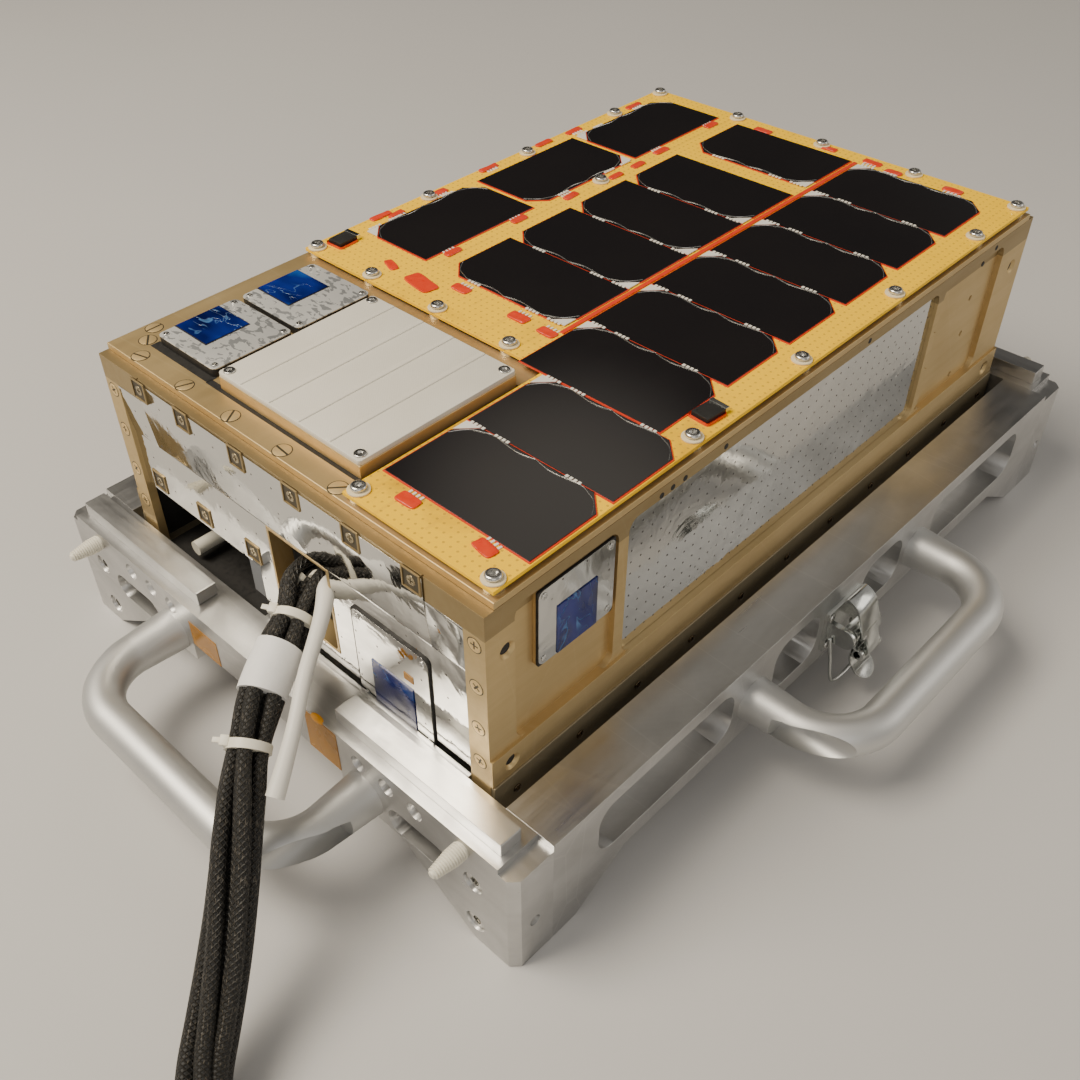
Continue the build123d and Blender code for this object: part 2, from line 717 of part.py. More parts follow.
# seats: node, direction of reach, distance of the bar's outer face, reach beyond it
handle_seats = [
    ("handle_front", (-1, 0, 0), end_bar_outer, handle_reach),
    ("handle_rear", (1, 0, 0), end_bar_outer, handle_reach),
    ("handle_near", (0, -1, 0), side_bar_outer, side_reach),
    ("handle_far", (0, 1, 0), side_bar_outer, side_reach),
]
for name, out_dir, distance, reach in handle_seats:
    seat = (out_dir[0] * distance, out_dir[1] * distance, handle_z)
    foot = Plane(origin=seat, x_dir=out_dir, z_dir=(0, 0, 1))
    with BuildPart() as handle:
        with BuildLine(foot):
            FilletPolyline(
                (0, -handle_pitch / 2),
                (reach, -handle_pitch / 2),
                (reach, handle_pitch / 2),
                (0, handle_pitch / 2),
                radius=handle_bend,
            )
        with BuildSketch(Plane(origin=foot.from_local_coords((0, -handle_pitch / 2, 0)), z_dir=out_dir)):
            Circle(grip_radius)
        sweep()
        for leg in (-1, 1):
            leg_place = foot.from_local_coords((0, leg * handle_pitch / 2, 0))
            leg_base = Plane(origin=leg_place, z_dir=out_dir)
            with BuildSketch(leg_base):
                Circle(leg_radius)
            with BuildSketch(leg_base.offset(reach - handle_bend)):
                Circle(grip_radius)
            loft()
        for leg in (-1, 1):
            scoop_place = (scoop_floor, leg * (handle_pitch / 2 + scoop_shift), 0)
            with BuildSketch(Plane(origin=foot.from_local_coords(scoop_place), z_dir=out_dir)):
                Circle(scoop_radius)
            extrude(amount=reach, mode=Mode.SUBTRACT)
    handle.part.label = name
    export_step(handle.part, f"parts/{name}.step")

# Nylon jacking screws through the end bars
jack_radius = 3.2
jack_reach = 15.0
jack_drop = 5.5
jack_y = 118.0
with BuildPart() as nylon_screws:
    for end in (-1, 1):
        with BuildSketch(Plane(origin=(end * end_bar_outer, 0, cradle_height - jack_drop),
                               x_dir=(0, end, 0), z_dir=(end, 0, 0))):
            with Locations((-jack_y, 0), (jack_y, 0)):
                Circle(jack_radius)
        extrude(amount=jack_reach)
nylon_screws.part.label = "nylon_screws"
export_step(nylon_screws.part, "parts/nylon_screws.step")

# Draw latches on the side bars: a base with two ears and a pin, a lever that hangs from
# the pin, and a claw that turns on the lever and stays upright as the lever swings out
latch_width = 26.0
latch_height = 22.0
latch_plate = 2.0
latch_drop = 23.0
ear_thickness = 2.5
ear_gap = 17.0
ear_height = 10.0
hub_radius = 3.5
pin_reach = 9.5
pin_radius = 1.8
pin_clearance = 0.05
lever_width = 15.0
lever_thickness = 1.6
lever_length = 17.0
thumb_radius = 6.0
lug_thickness = 1.8
claw_pin_drop = 8.0
claw_pin_out = 6.5
claw_pin_radius = 1.2
claw_hub_radius = 2.6
claw_width = 9.0
claw_length = 25.0
claw_thickness = 1.6
claw_tab = 9.0
pin_z = cradle_height - latch_drop
claw_z = pin_z - claw_pin_drop
with BuildPart() as latch_bases:
    for side in (-1, 1):
        face_y = side * side_bar_outer
        pin_y = face_y + side * pin_reach
        with BuildSketch(Plane(origin=(0, face_y, pin_z), x_dir=(1, 0, 0), z_dir=(0, side, 0))):
            Rectangle(latch_width, latch_height)
        extrude(amount=latch_plate)
        for end in (-1, 1):
            with BuildSketch(Plane(origin=(end * ear_gap / 2, 0, 0), x_dir=(0, end, 0), z_dir=(end, 0, 0))):
                with Locations((end * (face_y + side * pin_reach / 2), pin_z)):
                    Rectangle(pin_reach, ear_height)
                with Locations((end * pin_y, pin_z)):
                    Circle(ear_height / 2)
            extrude(amount=ear_thickness)
        with BuildSketch(Plane(origin=(-ear_gap / 2, pin_y, pin_z), z_dir=(1, 0, 0))):
            Circle(pin_radius)
        extrude(amount=ear_gap)
latch_bases.part.label = "latch_bases"
export_step(latch_bases.part, "parts/latch_bases.step")

for side, name in ((-1, "near"), (1, "far")):
    pin_y = side * (side_bar_outer + pin_reach)
    claw_y = pin_y + side * claw_pin_out
    strap_y = pin_y + side * (hub_radius - lever_thickness / 2)
    with BuildPart() as latch_lever:
        with BuildSketch(Plane(origin=(-lever_width / 2, 0, 0), x_dir=(0, 1, 0), z_dir=(1, 0, 0))):
            with Locations((pin_y, pin_z)):
                Circle(hub_radius)
            with Locations((strap_y, pin_z - lever_length / 2)):
                Rectangle(lever_thickness, lever_length)
            with Locations((pin_y, pin_z)):
                Circle(pin_radius + pin_clearance, mode=Mode.SUBTRACT)
        extrude(amount=lever_width)
        thumb = Plane(origin=(0, strap_y, pin_z - lever_length), x_dir=(1, 0, 0), z_dir=(0, side, 1))
        with BuildSketch(thumb):
            Circle(thumb_radius)
            with Locations((0, side * thumb_radius / 2)):
                Rectangle(2 * thumb_radius, thumb_radius, mode=Mode.SUBTRACT)
        extrude(amount=lever_thickness / 2, both=True)
        for end in (-1, 1):
            lug_x = end * (lever_width / 2 - lug_thickness)
            with BuildSketch(Plane(origin=(lug_x, 0, 0), x_dir=(0, end, 0), z_dir=(end, 0, 0))):
                with Locations((end * (strap_y + claw_y) / 2, claw_z)):
                    Rectangle(abs(claw_y - strap_y), 2 * claw_hub_radius)
                with Locations((end * claw_y, claw_z)):
                    Circle(claw_hub_radius)
            extrude(amount=lug_thickness)
        with BuildSketch(Plane(origin=(-lever_width / 2, claw_y, claw_z), z_dir=(1, 0, 0))):
            Circle(claw_pin_radius)
        extrude(amount=lever_width)
    latch_lever.part.label = f"latch_lever_{name}"
    export_step(latch_lever.part, f"parts/latch_lever_{name}.step")

    claw_face_y = claw_y + side * (claw_hub_radius - claw_thickness / 2)
    with BuildPart() as latch_claw:
        with BuildSketch(Plane(origin=(-claw_width / 2, 0, 0), x_dir=(0, 1, 0), z_dir=(1, 0, 0))):
            with Locations((claw_y, claw_z)):
                Circle(claw_hub_radius)
            with Locations((claw_face_y, claw_z + claw_length / 2)):
                Rectangle(claw_thickness, claw_length)
            with Locations((claw_face_y + side * (claw_tab - claw_thickness) / 2, claw_z + claw_length)):
                Rectangle(claw_tab, claw_thickness)
            with Locations((claw_y, claw_z)):
                Circle(claw_pin_radius + pin_clearance, mode=Mode.SUBTRACT)
        extrude(amount=claw_width)
    latch_claw.part.label = f"latch_claw_{name}"
    export_step(latch_claw.part, f"parts/latch_claw_{name}.step")

# Harness: its socket on the equipment, the free bundle with its sleeve, and the far plug
harness_radius = 10.0
socket_size = 26.0
plug_radius = 11.5
plug_length = 34.0
harness_y = -14.5
harness_drop = 54.5
socket_setback = 22.0
harness_z = deck_z - harness_drop
# route, straight through the window first: X, Y, Z
harness_route = [
    (socket_setback - half_length, harness_y, harness_z),
    (-181.8, harness_y, harness_z),
    (-202.0, -19.8, 91.2),
    (-221.0, -30.3, 83.6),
    (-237.0, -42.0, 74.0),
    (-252.6, -54.1, 62.2),
    (-267.1, -65.1, 48.7),
    (-281.3, -76.0, 34.0),
    (-294.5, -88.3, 20.5),
    (-306.5, -103.0, 13.2),
    (-318.0, -120.0, plug_radius),
    (-325.7, -138.4, plug_radius),
]
points = [Vector(*point) for point in harness_route]
harness_radii = []
for before, here, after in zip(points, points[1:], points[2:]):
    turn = (here - before).get_angle(after - here)
    shorter = min((here - before).length, (after - here).length)
    harness_radii.append(0.45 * shorter / tan(radians(turn) / 2))
print("harness arc radii", [round(radius) for radius in harness_radii])
with BuildPart() as harness:
    with BuildLine() as harness_path:
        FilletPolyline(*harness_route, radius=harness_radii)
    with BuildSketch(Plane(origin=harness_path.line @ 0, z_dir=harness_path.line % 0)):
        Circle(harness_radius)
    sweep()
harness_length = sum(edge.length for edge in harness_path.edges())
print("harness length", round(harness_length), "volume", round(harness.part.volume),
      "section times length", round(pi * harness_radius**2 * harness_length))
harness.part.label = "harness"
export_step(harness.part, "parts/harness.step")

with BuildPart() as harness_socket:
    with BuildSketch(Plane(origin=(equipment_start, harness_y, harness_z), z_dir=(-1, 0, 0))):
        Rectangle(socket_size, socket_size)
    extrude(amount=equipment_start - harness_route[0][0])
harness_socket.part.label = "harness_socket"
export_step(harness_socket.part, "parts/harness_socket.step")

with BuildPart() as harness_plug:
    with BuildSketch(Plane(origin=harness_path.line @ 1, z_dir=harness_path.line % 1)):
        Circle(plug_radius)
    extrude(amount=plug_length)
harness_plug.part.label = "harness_plug"
export_step(harness_plug.part, "parts/harness_plug.step")
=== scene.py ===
"""Box nanosatellite in its handling cradle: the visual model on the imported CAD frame."""

from math import cos, pi, radians, sin

import bpy
from bpy.props import FloatProperty, FloatVectorProperty, IntProperty, PointerProperty
from mathutils import Matrix, Vector


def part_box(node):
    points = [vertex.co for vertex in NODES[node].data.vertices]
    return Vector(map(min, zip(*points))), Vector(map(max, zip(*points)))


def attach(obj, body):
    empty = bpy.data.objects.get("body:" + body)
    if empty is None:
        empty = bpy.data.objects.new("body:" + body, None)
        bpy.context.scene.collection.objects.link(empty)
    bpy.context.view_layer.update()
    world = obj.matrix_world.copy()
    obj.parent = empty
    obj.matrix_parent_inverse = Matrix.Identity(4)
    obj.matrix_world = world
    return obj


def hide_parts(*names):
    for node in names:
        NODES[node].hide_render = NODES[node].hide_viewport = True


bl_info = {
    "name": "Box Nanosatellite",
    "version": (1, 0, 0),
    "blender": (4, 5, 0),
    "location": "View3D > Sidebar > Satellite",
    "description": "Details, finishes and studio of a box nanosatellite in its cradle",
    "category": "Object",
}

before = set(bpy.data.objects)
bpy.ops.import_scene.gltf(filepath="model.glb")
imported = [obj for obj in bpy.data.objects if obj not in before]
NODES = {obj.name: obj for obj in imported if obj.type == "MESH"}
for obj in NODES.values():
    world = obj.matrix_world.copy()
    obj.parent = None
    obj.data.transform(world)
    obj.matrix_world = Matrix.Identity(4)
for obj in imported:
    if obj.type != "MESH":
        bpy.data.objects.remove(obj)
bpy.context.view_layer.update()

# Values below are in millimetres in the frame's own axes. Geometry is made in metres.
MM = 0.001
ROOT = "satellite_in_cradle"
# Tops of the deck, of the solar board and of its cells
DECK = 149.0
BOARD_TOP = 152.3
CELL_TOP = 153.0
# Faces of the front end's frame and panel, and half the width over the side panels
END_X = -183.0
PANEL_X = -181.0
SIDE_Y = 111.1
# Outer and inner faces of the cradle's end bars, and their top
BAR_X = 204.5
BAR_INNER = 184.4
BAR_TOP = 58.5

# Harness route, X Y Z, from the socket behind the window to the plug
HARNESS_ROUTE = [
    (-161.0, -14.5, 94.5),
    (-178.0, -10.0, 101.0),
    (-196.0, -22.0, 93.0),
    (-218.0, -32.0, 86.0),
    (-235.5, -43.0, 77.0),
    (-251.5, -56.5, 65.5),
    (-266.0, -69.0, 52.0),
    (-280.0, -79.5, 36.5),
    (-295.0, -90.0, 23.0),
    (-310.0, -101.5, 16.0),
    (-321.5, -118.0, 13.0),
    (-325.7, -138.4, 11.5),
]
HARNESS_LENGTH = 238.0

# Ties on the whole harness: distance along it, length, share of its full radius
TIE_BANDS = [(39.0, 3.4, 0.78), (89.5, 3.4, 0.82)]
# Ties on its two branches near the window: distance, length, radius, side
BRANCH_BANDS = [(23.0, 2.6, 4.9, 1), (20.0, 2.6, 4.9, -1)]
# Blank label: the same three values as a tie's
LABEL_BAND = (60.5, 19.0, 0.90)
# How thick the harness is: distance along it and share of its full radius
BUNDLE = [(0.0, 0.70), (24.0, 0.74), (39.0, 0.78), (50.0, 0.90), (72.0, 0.90), (89.5, 0.82),
          (110.0, 0.96), (130.0, 1.0), (150.0, 0.97), (190.0, 1.0), (HARNESS_LENGTH * 1.1, 0.96)]
# The two branches: half their distance, where they begin to close and where they meet
BRANCHES = (3.0, 20.0, 37.0)
# Plug: ridges of its ring, pins and their distance from its middle
PLUG_RIDGES = 24
PLUG_PINS = 10
PLUG_PINS_OUT = 5.4
# White tube beside the harness: distance along it, distance from its middle, share of radius
TUBE_RUN = [(15, 6.0, 0.75), (22, 8.6, 0.9), (30, 11.0, 1.0), (38, 12.4, 0.86), (50, 13.9, 0.8),
            (62, 15.6, 0.8), (74, 17.2, 0.78), (86, 17.0, 0.8), (97, 15.2, 0.9), (106, 13.2, 1.0)]

# Cells: centre X, centre Y, turn in degrees from crops towards +X
CELL_SIZE = (39.7, 68.95)
CELL_CROP = 7.75
CELL_PITCH = 40.53
CELL_PLACES = [(-140.05 + k * CELL_PITCH, -74.22, 0) for k in range(2)]
CELL_PLACES += [(-58.35 + k * CELL_PITCH, -61.02, 0) for k in range(6)]
CELL_PLACES += [(-27.65 + k * CELL_PITCH, 12.68, 180) for k in range(4)]
CELL_PLACES += [(145.47, 12.68, 180)]
CELL_PLACES += [(-13.03, 80.45, 90), (59.17, 80.45, -90), (131.37, 80.45, 90)]

# Board screws: X, Y
BOARD_SCREWS = [(x, side * 105.6) for x in (-72.2, -3.5, 65.2, 133.9, 173.0) for side in (-1, 1)]
BOARD_SCREWS += [(173.0, step * 52.6) for step in (-1, 0, 1)]
BOARD_SCREWS += [(-72.2, -14.7 + count * 41.5) for count in range(3)]
BOARD_SCREWS += [(-173.0, -105.6), (-173.0, -41.3), (65.2, 56.1)]
# Height of the washer under each board screw
WASHER_HEIGHT = 0.8

# Silicone stakes on the board: X, Y, length, width, turn, side of their tabs (0 for none)
STAKES = [
    (-165.3, -57.7, 9.5, 5.5, 90, -1), (-164.7, -93.7, 9.5, 5.5, 82, -1),
    (-60.8, 68.6, 9, 4, 70, 0), (-62.7, 47.2, 17, 8.5, 80, 0), (-54.6, 30.8, 9, 5, 90, -1),
    (-55.0, -3.4, 10, 5.5, 90, -1), (-55.6, -19.8, 9, 5, 88, -1), (-34.2, 57.1, 9, 4, 2, 1),
    (8.5, 57.2, 9, 4, 0, 1), (43.0, 55.8, 9, 4, 4, 1), (74.5, 54.3, 9, 3.6, 0, 0),
    (91.6, 54.4, 9, 3.8, 0, 0), (112.5, 56.5, 10, 4.2, 0, 1), (155.9, 57.4, 9, 4, 0, 1),
    (-32.7, 107.6, 12, 3.6, 0, 0), (-26.4, 103.6, 9, 3.2, 4, -1), (2.4, 105.4, 11, 3.8, 0, -1),
    (38.8, 107.4, 12, 3.6, 0, -1), (79.6, 107.6, 11, 3.6, 0, 0), (101.6, 106.4, 11, 3.6, 0, -1),
    (149.0, 105.0, 11, 3.6, 0, -1), (167.9, 32.7, 10, 4.4, 90, 1), (171.2, -5.7, 8, 4, 90, 0),
    (171.0, -30.8, 10, 4.4, 88, 1), (168.0, -44.1, 9, 4, 92, 1), (169.0, -75.5, 10, 4.4, 90, 1),
]
# Tabs beside each stake
DASHES = 4

# Ridges of the antenna's cover
ANTENNA_RIDGES = 4
ANTENNA_PITCH = 17.5
# Circuit packages: X, Y, turn; their length, width and height, and their leads
CHIPS = [(-56.6, -101.3, -4.0), (-60.2, 101.3, 3.0)]
CHIP_SIZE = (11.5, 8.0, 2.4)
CHIP_LEADS = 4
CHIP_PITCH = 1.7

# Slotted screws of the deck: X, Y, Z
DECK_SCREWS = [
    (-158.8, 106.3, DECK), (-165.9, 100.1, DECK), (-174.6, 92.0, DECK), (-174.6, 61.1, DECK),
    (-174.6, 31.0, DECK), (-174.6, -0.2, DECK), (-174.6, -31.6, DECK),
]
# Turn from each flush screw's slot to the next, degrees
SCREW_TURN = 53
# Screws and holes of the front end and the near side, repeated opposite: X, Y, Z
POST_SCREWS = [(END_X, y, DECK - drop) for y in (-106.2, 106.2)
               for drop in (18.5, 38.5, 59.5, 77.5)]
RAIL_SCREWS = [(-171.9 + 34.4 * k, -113.15, 52.0) for k in range(11)]
SIDE_HOLES = [(x, -SIDE_Y, DECK - drop) for x, drop in (
    (-95.3, 6.5), (-89.1, 6.4), (-82.0, 6.4), (-124.0, 17.4), (-129.7, 17.3), (-125.8, 22.2),
    (137.2, 9.5), (-58.0, 5.6), (40.0, 5.6), (148.0, 5.6))]
CORNER_HOLES = [(x, y, z) for y, z in ((1.5 - SIDE_Y, 124.0), (0.3 - SIDE_Y, 67.5))
                for x in (-173.0, 173.0)]

# Sensor heads on the deck: their middles' X and Y, half their side, and the heights where the
# silver cover begins and ends
HEADS_X = (-144.45, -102.95)
HEADS_Y = 75.5
HEAD_HALF = 19.5
HEAD_SEAM = 152.5
HEAD_TOP = 153.0
# Dark strips as painted shade in the gaps of the deck beside the heads: low X and Y, high X and Y
DECK_SHADE_GAPS = [(-167.6, 56.0, -163.0, 95.6), (-168.0, -36.0, -165.0, 56.5),
             (-167.0, -36.0, -87.2, -34.0), (-89.0, -36.0, -87.2, 50.0)]
# Screws round the two sensor plates: middle and reach along each edge
END_PLATE = ((-59.7, 17.6), (78.0, 21.0))
SIDE_PLATE = ((-139.1, 16.6), (121.8, 14.7))
# Opening of the harness window: Y and Z, and the thickness of its lining
WINDOW_Y = (-26.7, 10.7)
WINDOW_Z = (66.8, 111.2)
WINDOW_WALL = 1.3
# Thickness of the silver film over the ends
FILM = 0.25

# Jacking screws in the cradle's end bars: Y to either side, Z, pitch and radius of the thread
JACK_PLACE = (118.0, 53.0)
JACK_THREADS = 13
JACK_PITCH = 1.05
JACK_RADIUS = 3.75
# Latches: Y and Z of the lever's pin and of the claw's pin, and the thickness of their sheet
LEVER_PIN = (-152.5, 35.5)
CLAW_PIN = (-159.0, 27.5)
LATCH_SHEET = 1.3

# Clips on the end faces: X of the face, height of the middle, Y
CLIPS = [(END_X, 141.2, y) for y in (82.3, 52.9, 17.8, -14.7, -47.3, -78.0)]
CLIPS += [(PANEL_X, 89.5, y) for y in (90.5, 57.4, 24.0)]

# Turn that brings a piece's top to face each way
FACING = {
    "+Z": Matrix.Identity(4),
    "-X": Matrix.Rotation(-pi / 2, 4, "Y"),
    "+X": Matrix.Rotation(pi / 2, 4, "Y"),
    "-Y": Matrix.Rotation(pi / 2, 4, "X"),
    "+Y": Matrix.Rotation(-pi / 2, 4, "X"),
}

# Photo camera: place and turn of the view axes, from the deck's, cells' and cradle's lines
CAMERA_PLACE = (-357.98, -297.54, 402.57)
CAMERA_HEADING = 45.167
CAMERA_DOWN = 41.908
CAMERA_ROLL = -1.356

# Height of the floor in metres, a hair under the feet
FLOOR_DROP = -0.0002
# Lights: place in metres, side in metres, power's setting, tint; and the point that they face
LIGHTS = [
    ("key_light", (-0.9, 0.6, 1.6), 1.0, "key_power", (1.0, 0.90, 0.74)),
    ("fill_light", (-1.1, -1.3, 0.9), 1.2, "fill_power", (1.0, 0.96, 0.90)),
    ("side_light", (1.1, -1.3, 0.8), 0.9, "fill_power", (1.0, 0.94, 0.84)),
]
LIGHTS_AIM = Vector((0, 0, 0.05))

# Surroundings: the way of the dark part that the cells mirror, and of the glow in the nearest
# cell, each with the cosines between which it fades, and the tones
DARK_WAY = (0.53, 0.53, 0.66)
DARK_COSINES = (0.76, 0.93)
GLOW_WAY = (0.56, 0.49, 0.668)
GLOW_COSINES = (0.984, 1.0)
STUDIO_TONE = (0.84, 0.80, 0.74)
DARK_TONE = (0.040, 0.037, 0.034)
GLOW_TONE = (1.30, 1.18, 1.00)


def start():
    """Object mode with nothing selected."""
    if bpy.context.mode != "OBJECT":
        bpy.ops.object.mode_set(mode="OBJECT")
    bpy.ops.object.select_all(action="DESELECT")


def only(piece):
    """Selects one piece and makes it active."""
    start()
    piece.select_set(True)
    bpy.context.view_layer.objects.active = piece
    return piece


def settle(piece, name):
    """Names a new piece and puts its place into its mesh."""
    only(piece)
    bpy.ops.object.transform_apply(location=True, rotation=True, scale=True)
    piece.name = name
    piece.data.name = name
    return piece


def modify(piece, kind, **settings):
    """Adds a modifier with these settings and applies it."""
    only(piece)
    bpy.ops.object.modifier_add(type=kind)
    modifier = piece.modifiers[-1]
    for key, value in settings.items():
        setattr(modifier, key, value)
    bpy.ops.object.modifier_apply(modifier=modifier.name)
    return piece


def rounded(piece, width, segments=2, angle=30.0):
    """Bevels the edges sharper than the angle."""
    return modify(piece, "BEVEL", width=width, segments=segments, limit_method="ANGLE",
                  angle_limit=radians(angle))


def smooth(piece, angle=32.0):
    """Smooth shading up to an angle."""
    only(piece)
    bpy.ops.object.shade_smooth_by_angle(angle=radians(angle))
    return piece


def select_nothing(piece):
    """Clears the selection of a piece's faces, edges and points."""
    for part in (*piece.data.polygons, *piece.data.edges, *piece.data.vertices):
        part.select = False


def edit_whole(piece):
    """Edit mode with the whole piece selected."""
    only(piece)
    bpy.ops.object.mode_set(mode="EDIT")
    bpy.ops.mesh.select_all(action="SELECT")


def block(low, high):
    """A sharp-edged box between two corners in millimetres."""
    start()
    middle = [(a + b) / 2 * MM for a, b in zip(low, high)]
    bpy.ops.mesh.primitive_cube_add(size=1.0, location=middle)
    piece = bpy.context.active_object
    piece.scale = [(b - a) * MM for a, b in zip(low, high)]
    return settle(piece, "block")


def box(low, high, bevel=0.2, segments=2):
    """A bevelled box between two corners in millimetres."""
    return rounded(block(low, high), bevel * MM, segments)


def prism(radius, bottom, top, sides):
    """A sharp-edged prism along Z, in millimetres."""
    start()
    bpy.ops.mesh.primitive_cylinder_add(
        vertices=sides, radius=radius * MM, depth=(top - bottom) * MM,
        location=(0, 0, (top + bottom) / 2 * MM))
    return settle(bpy.context.active_object, "prism")


def drum(radius, bottom, top, bevel=0.3, sides=24, segments=2):
    """A cylinder along Z with bevelled rims, in millimetres."""
    return rounded(prism(radius, bottom, top, sides), bevel * MM, segments, 45.0)


def join(pieces, name):
    """Joins pieces into the first one."""
    start()
    for piece in pieces:
        piece.select_set(True)
    bpy.context.view_layer.objects.active = pieces[0]
    if len(pieces) > 1:
        bpy.ops.object.join()
    return settle(bpy.context.active_object, name)


def cut(piece, cutter):
    """Takes a closed cutter out of a piece."""
    modify(piece, "BOOLEAN", object=cutter, operation="DIFFERENCE", solver="EXACT")
    bpy.data.objects.remove(cutter)
    return piece


def spread(seed, places, name):
    """One piece made of copies of a seed that was modelled round the origin."""
    copies = []
    for place in places:
        twin = seed.copy()
        twin.data = seed.data.copy()
        twin.data.transform(place)
        bpy.context.scene.collection.objects.link(twin)
        copies.append(twin)
    bpy.data.objects.remove(seed)
    return join(copies, name)


def at(x, y, z, facing="+Z", turn=0.0):
    """Where a copy stands: a place in millimetres, the way its top faces, and a turn about that."""
    move = Matrix.Translation(Vector((x, y, z)) * MM)
    return move @ FACING[facing] @ Matrix.Rotation(radians(turn), 4, "Z")


def mirrored(points, axis, turn=0.0):
    """Places of copies on the front end or near side, then of their mirrors opposite: X, Y, Z."""
    places = []
    for sign, way in ((1, "-"), (-1, "+")):
        for count, (x, y, z) in enumerate(points):
            x, y = (sign * x, y) if axis == "X" else (x, sign * y)
            places.append(at(x, y, z, way + axis, turn * count))
    return places


def smooth_line(points, name, order=3, resolution=6):
    """A curve object with one NURBS spline, its control points in metres."""
    curve = bpy.data.curves.new(name, "CURVE")
    curve.dimensions = "3D"
    spline = curve.splines.new("NURBS")
    spline.points.add(len(points) - 1)
    for point, place in zip(spline.points, points):
        point.co = (*place, 1.0)
    spline.order_u = order
    spline.use_endpoint_u = True
    spline.resolution_u = resolution
    line = bpy.data.objects.new(name, curve)
    bpy.context.scene.collection.objects.link(line)
    return line


def tube(points, radius, name, sides=3, order=3, taper=None):
    """A round tube along a smooth line through control points in metres, as a mesh."""
    line = only(smooth_line(points, name, order))
    line.data.bevel_depth = radius
    line.data.bevel_resolution = sides
    line.data.use_fill_caps = True
    for point, share in zip(line.data.splines[0].points, taper or [1.0] * len(points)):
        point.radius = share
    bpy.ops.object.convert(target="MESH")
    return settle(bpy.context.active_object, name)


def strip(points, width, thickness, name):
    """A bent sheet-metal strip, in millimetres: a smooth line of (Y, Z) points widened along X."""
    only(smooth_line([(-width / 2 * MM, y * MM, z * MM) for y, z in points], name))
    bpy.ops.object.convert(target="MESH")
    piece = bpy.context.active_object
    edit_whole(piece)
    bpy.ops.mesh.extrude_region_move(TRANSFORM_OT_translate={"value": (width * MM, 0, 0)})
    bpy.ops.object.mode_set(mode="OBJECT")
    modify(piece, "SOLIDIFY", thickness=thickness * MM, offset=0.0)
    return smooth(rounded(piece, 0.2 * thickness * MM, 2, 50))


def corner_triangle(leg, thickness):
    """A triangular plate with its square corner at the origin, in millimetres."""
    piece = box((-leg, -leg, 0.0), (0.0, 0.0, thickness), 0.06)
    edit_whole(piece)
    bpy.ops.mesh.bisect(plane_co=(-leg * MM, 0, 0), plane_no=(1, 1, 0),
                        clear_inner=True, use_fill=True)
    bpy.ops.object.mode_set(mode="OBJECT")
    return piece


def dress(piece, key, body=ROOT, replaced=()):
    """Gives a piece its finish and the body that it rides on."""
    piece.data.materials.clear()
    piece.data.materials.append(finish(key))
    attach(piece, body)
    if replaced:
        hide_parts(*replaced)
    return piece


def feed(tree, value, entry):
    """Links or sets one input of a shader node."""
    if isinstance(value, Number):
        tree.links.new(value.socket, entry)
    elif isinstance(value, bpy.types.NodeSocket):
        tree.links.new(value, entry)
    else:
        entry.default_value = value


def add_node(tree, kind, inputs, **settings):
    """A shader node with its settings, then its inputs' values or links."""
    made = tree.nodes.new(kind)
    for key, value in settings.items():
        setattr(made, key, value)
    for key, value in inputs.items():
        feed(tree, value, made.inputs[key])
    return made


def colour(value):
    """A colour with its fourth value, or a socket as it is."""
    return (*value, 1.0) if isinstance(value, tuple) and len(value) == 3 else value


def dimmed(tone, share):
    """A tone with its three channels multiplied."""
    return tuple(channel * share for channel in tone)


class Number:
    """A value in a shader, so that its maths reads as maths."""

    def __init__(self, tree, socket):
        self.tree = tree
        self.socket = socket

    def maths(self, operation, *others):
        return self.worked_out(operation, self, *others)

    def swapped(self, operation, other):
        return self.worked_out(operation, other, self)

    def worked_out(self, operation, *values):
        made = add_node(self.tree, "ShaderNodeMath", dict(enumerate(values)), operation=operation)
        return Number(self.tree, made.outputs[0])

    def __add__(self, other):
        return self.maths("ADD", other)

    __radd__ = __add__

    def __sub__(self, other):
        return self.maths("SUBTRACT", other)

    def __rsub__(self, other):
        return self.swapped("SUBTRACT", other)

    def __mul__(self, other):
        return self.maths("MULTIPLY", other)

    __rmul__ = __mul__

    def __truediv__(self, other):
        return self.maths("DIVIDE", other)

    def __rtruediv__(self, other):
        return self.swapped("DIVIDE", other)

    def above(self, limit):
        return self.maths("GREATER_THAN", limit)

    def below(self, limit):
        return self.maths("LESS_THAN", limit)

    def fraction(self):
        return self.maths("FRACT")

    def size(self):
        return self.maths("ABSOLUTE")

    def smaller(self, other):
        return self.maths("MINIMUM", other)

    def sine(self):
        return self.maths("SINE")

    def root(self):
        return self.maths("SQRT")


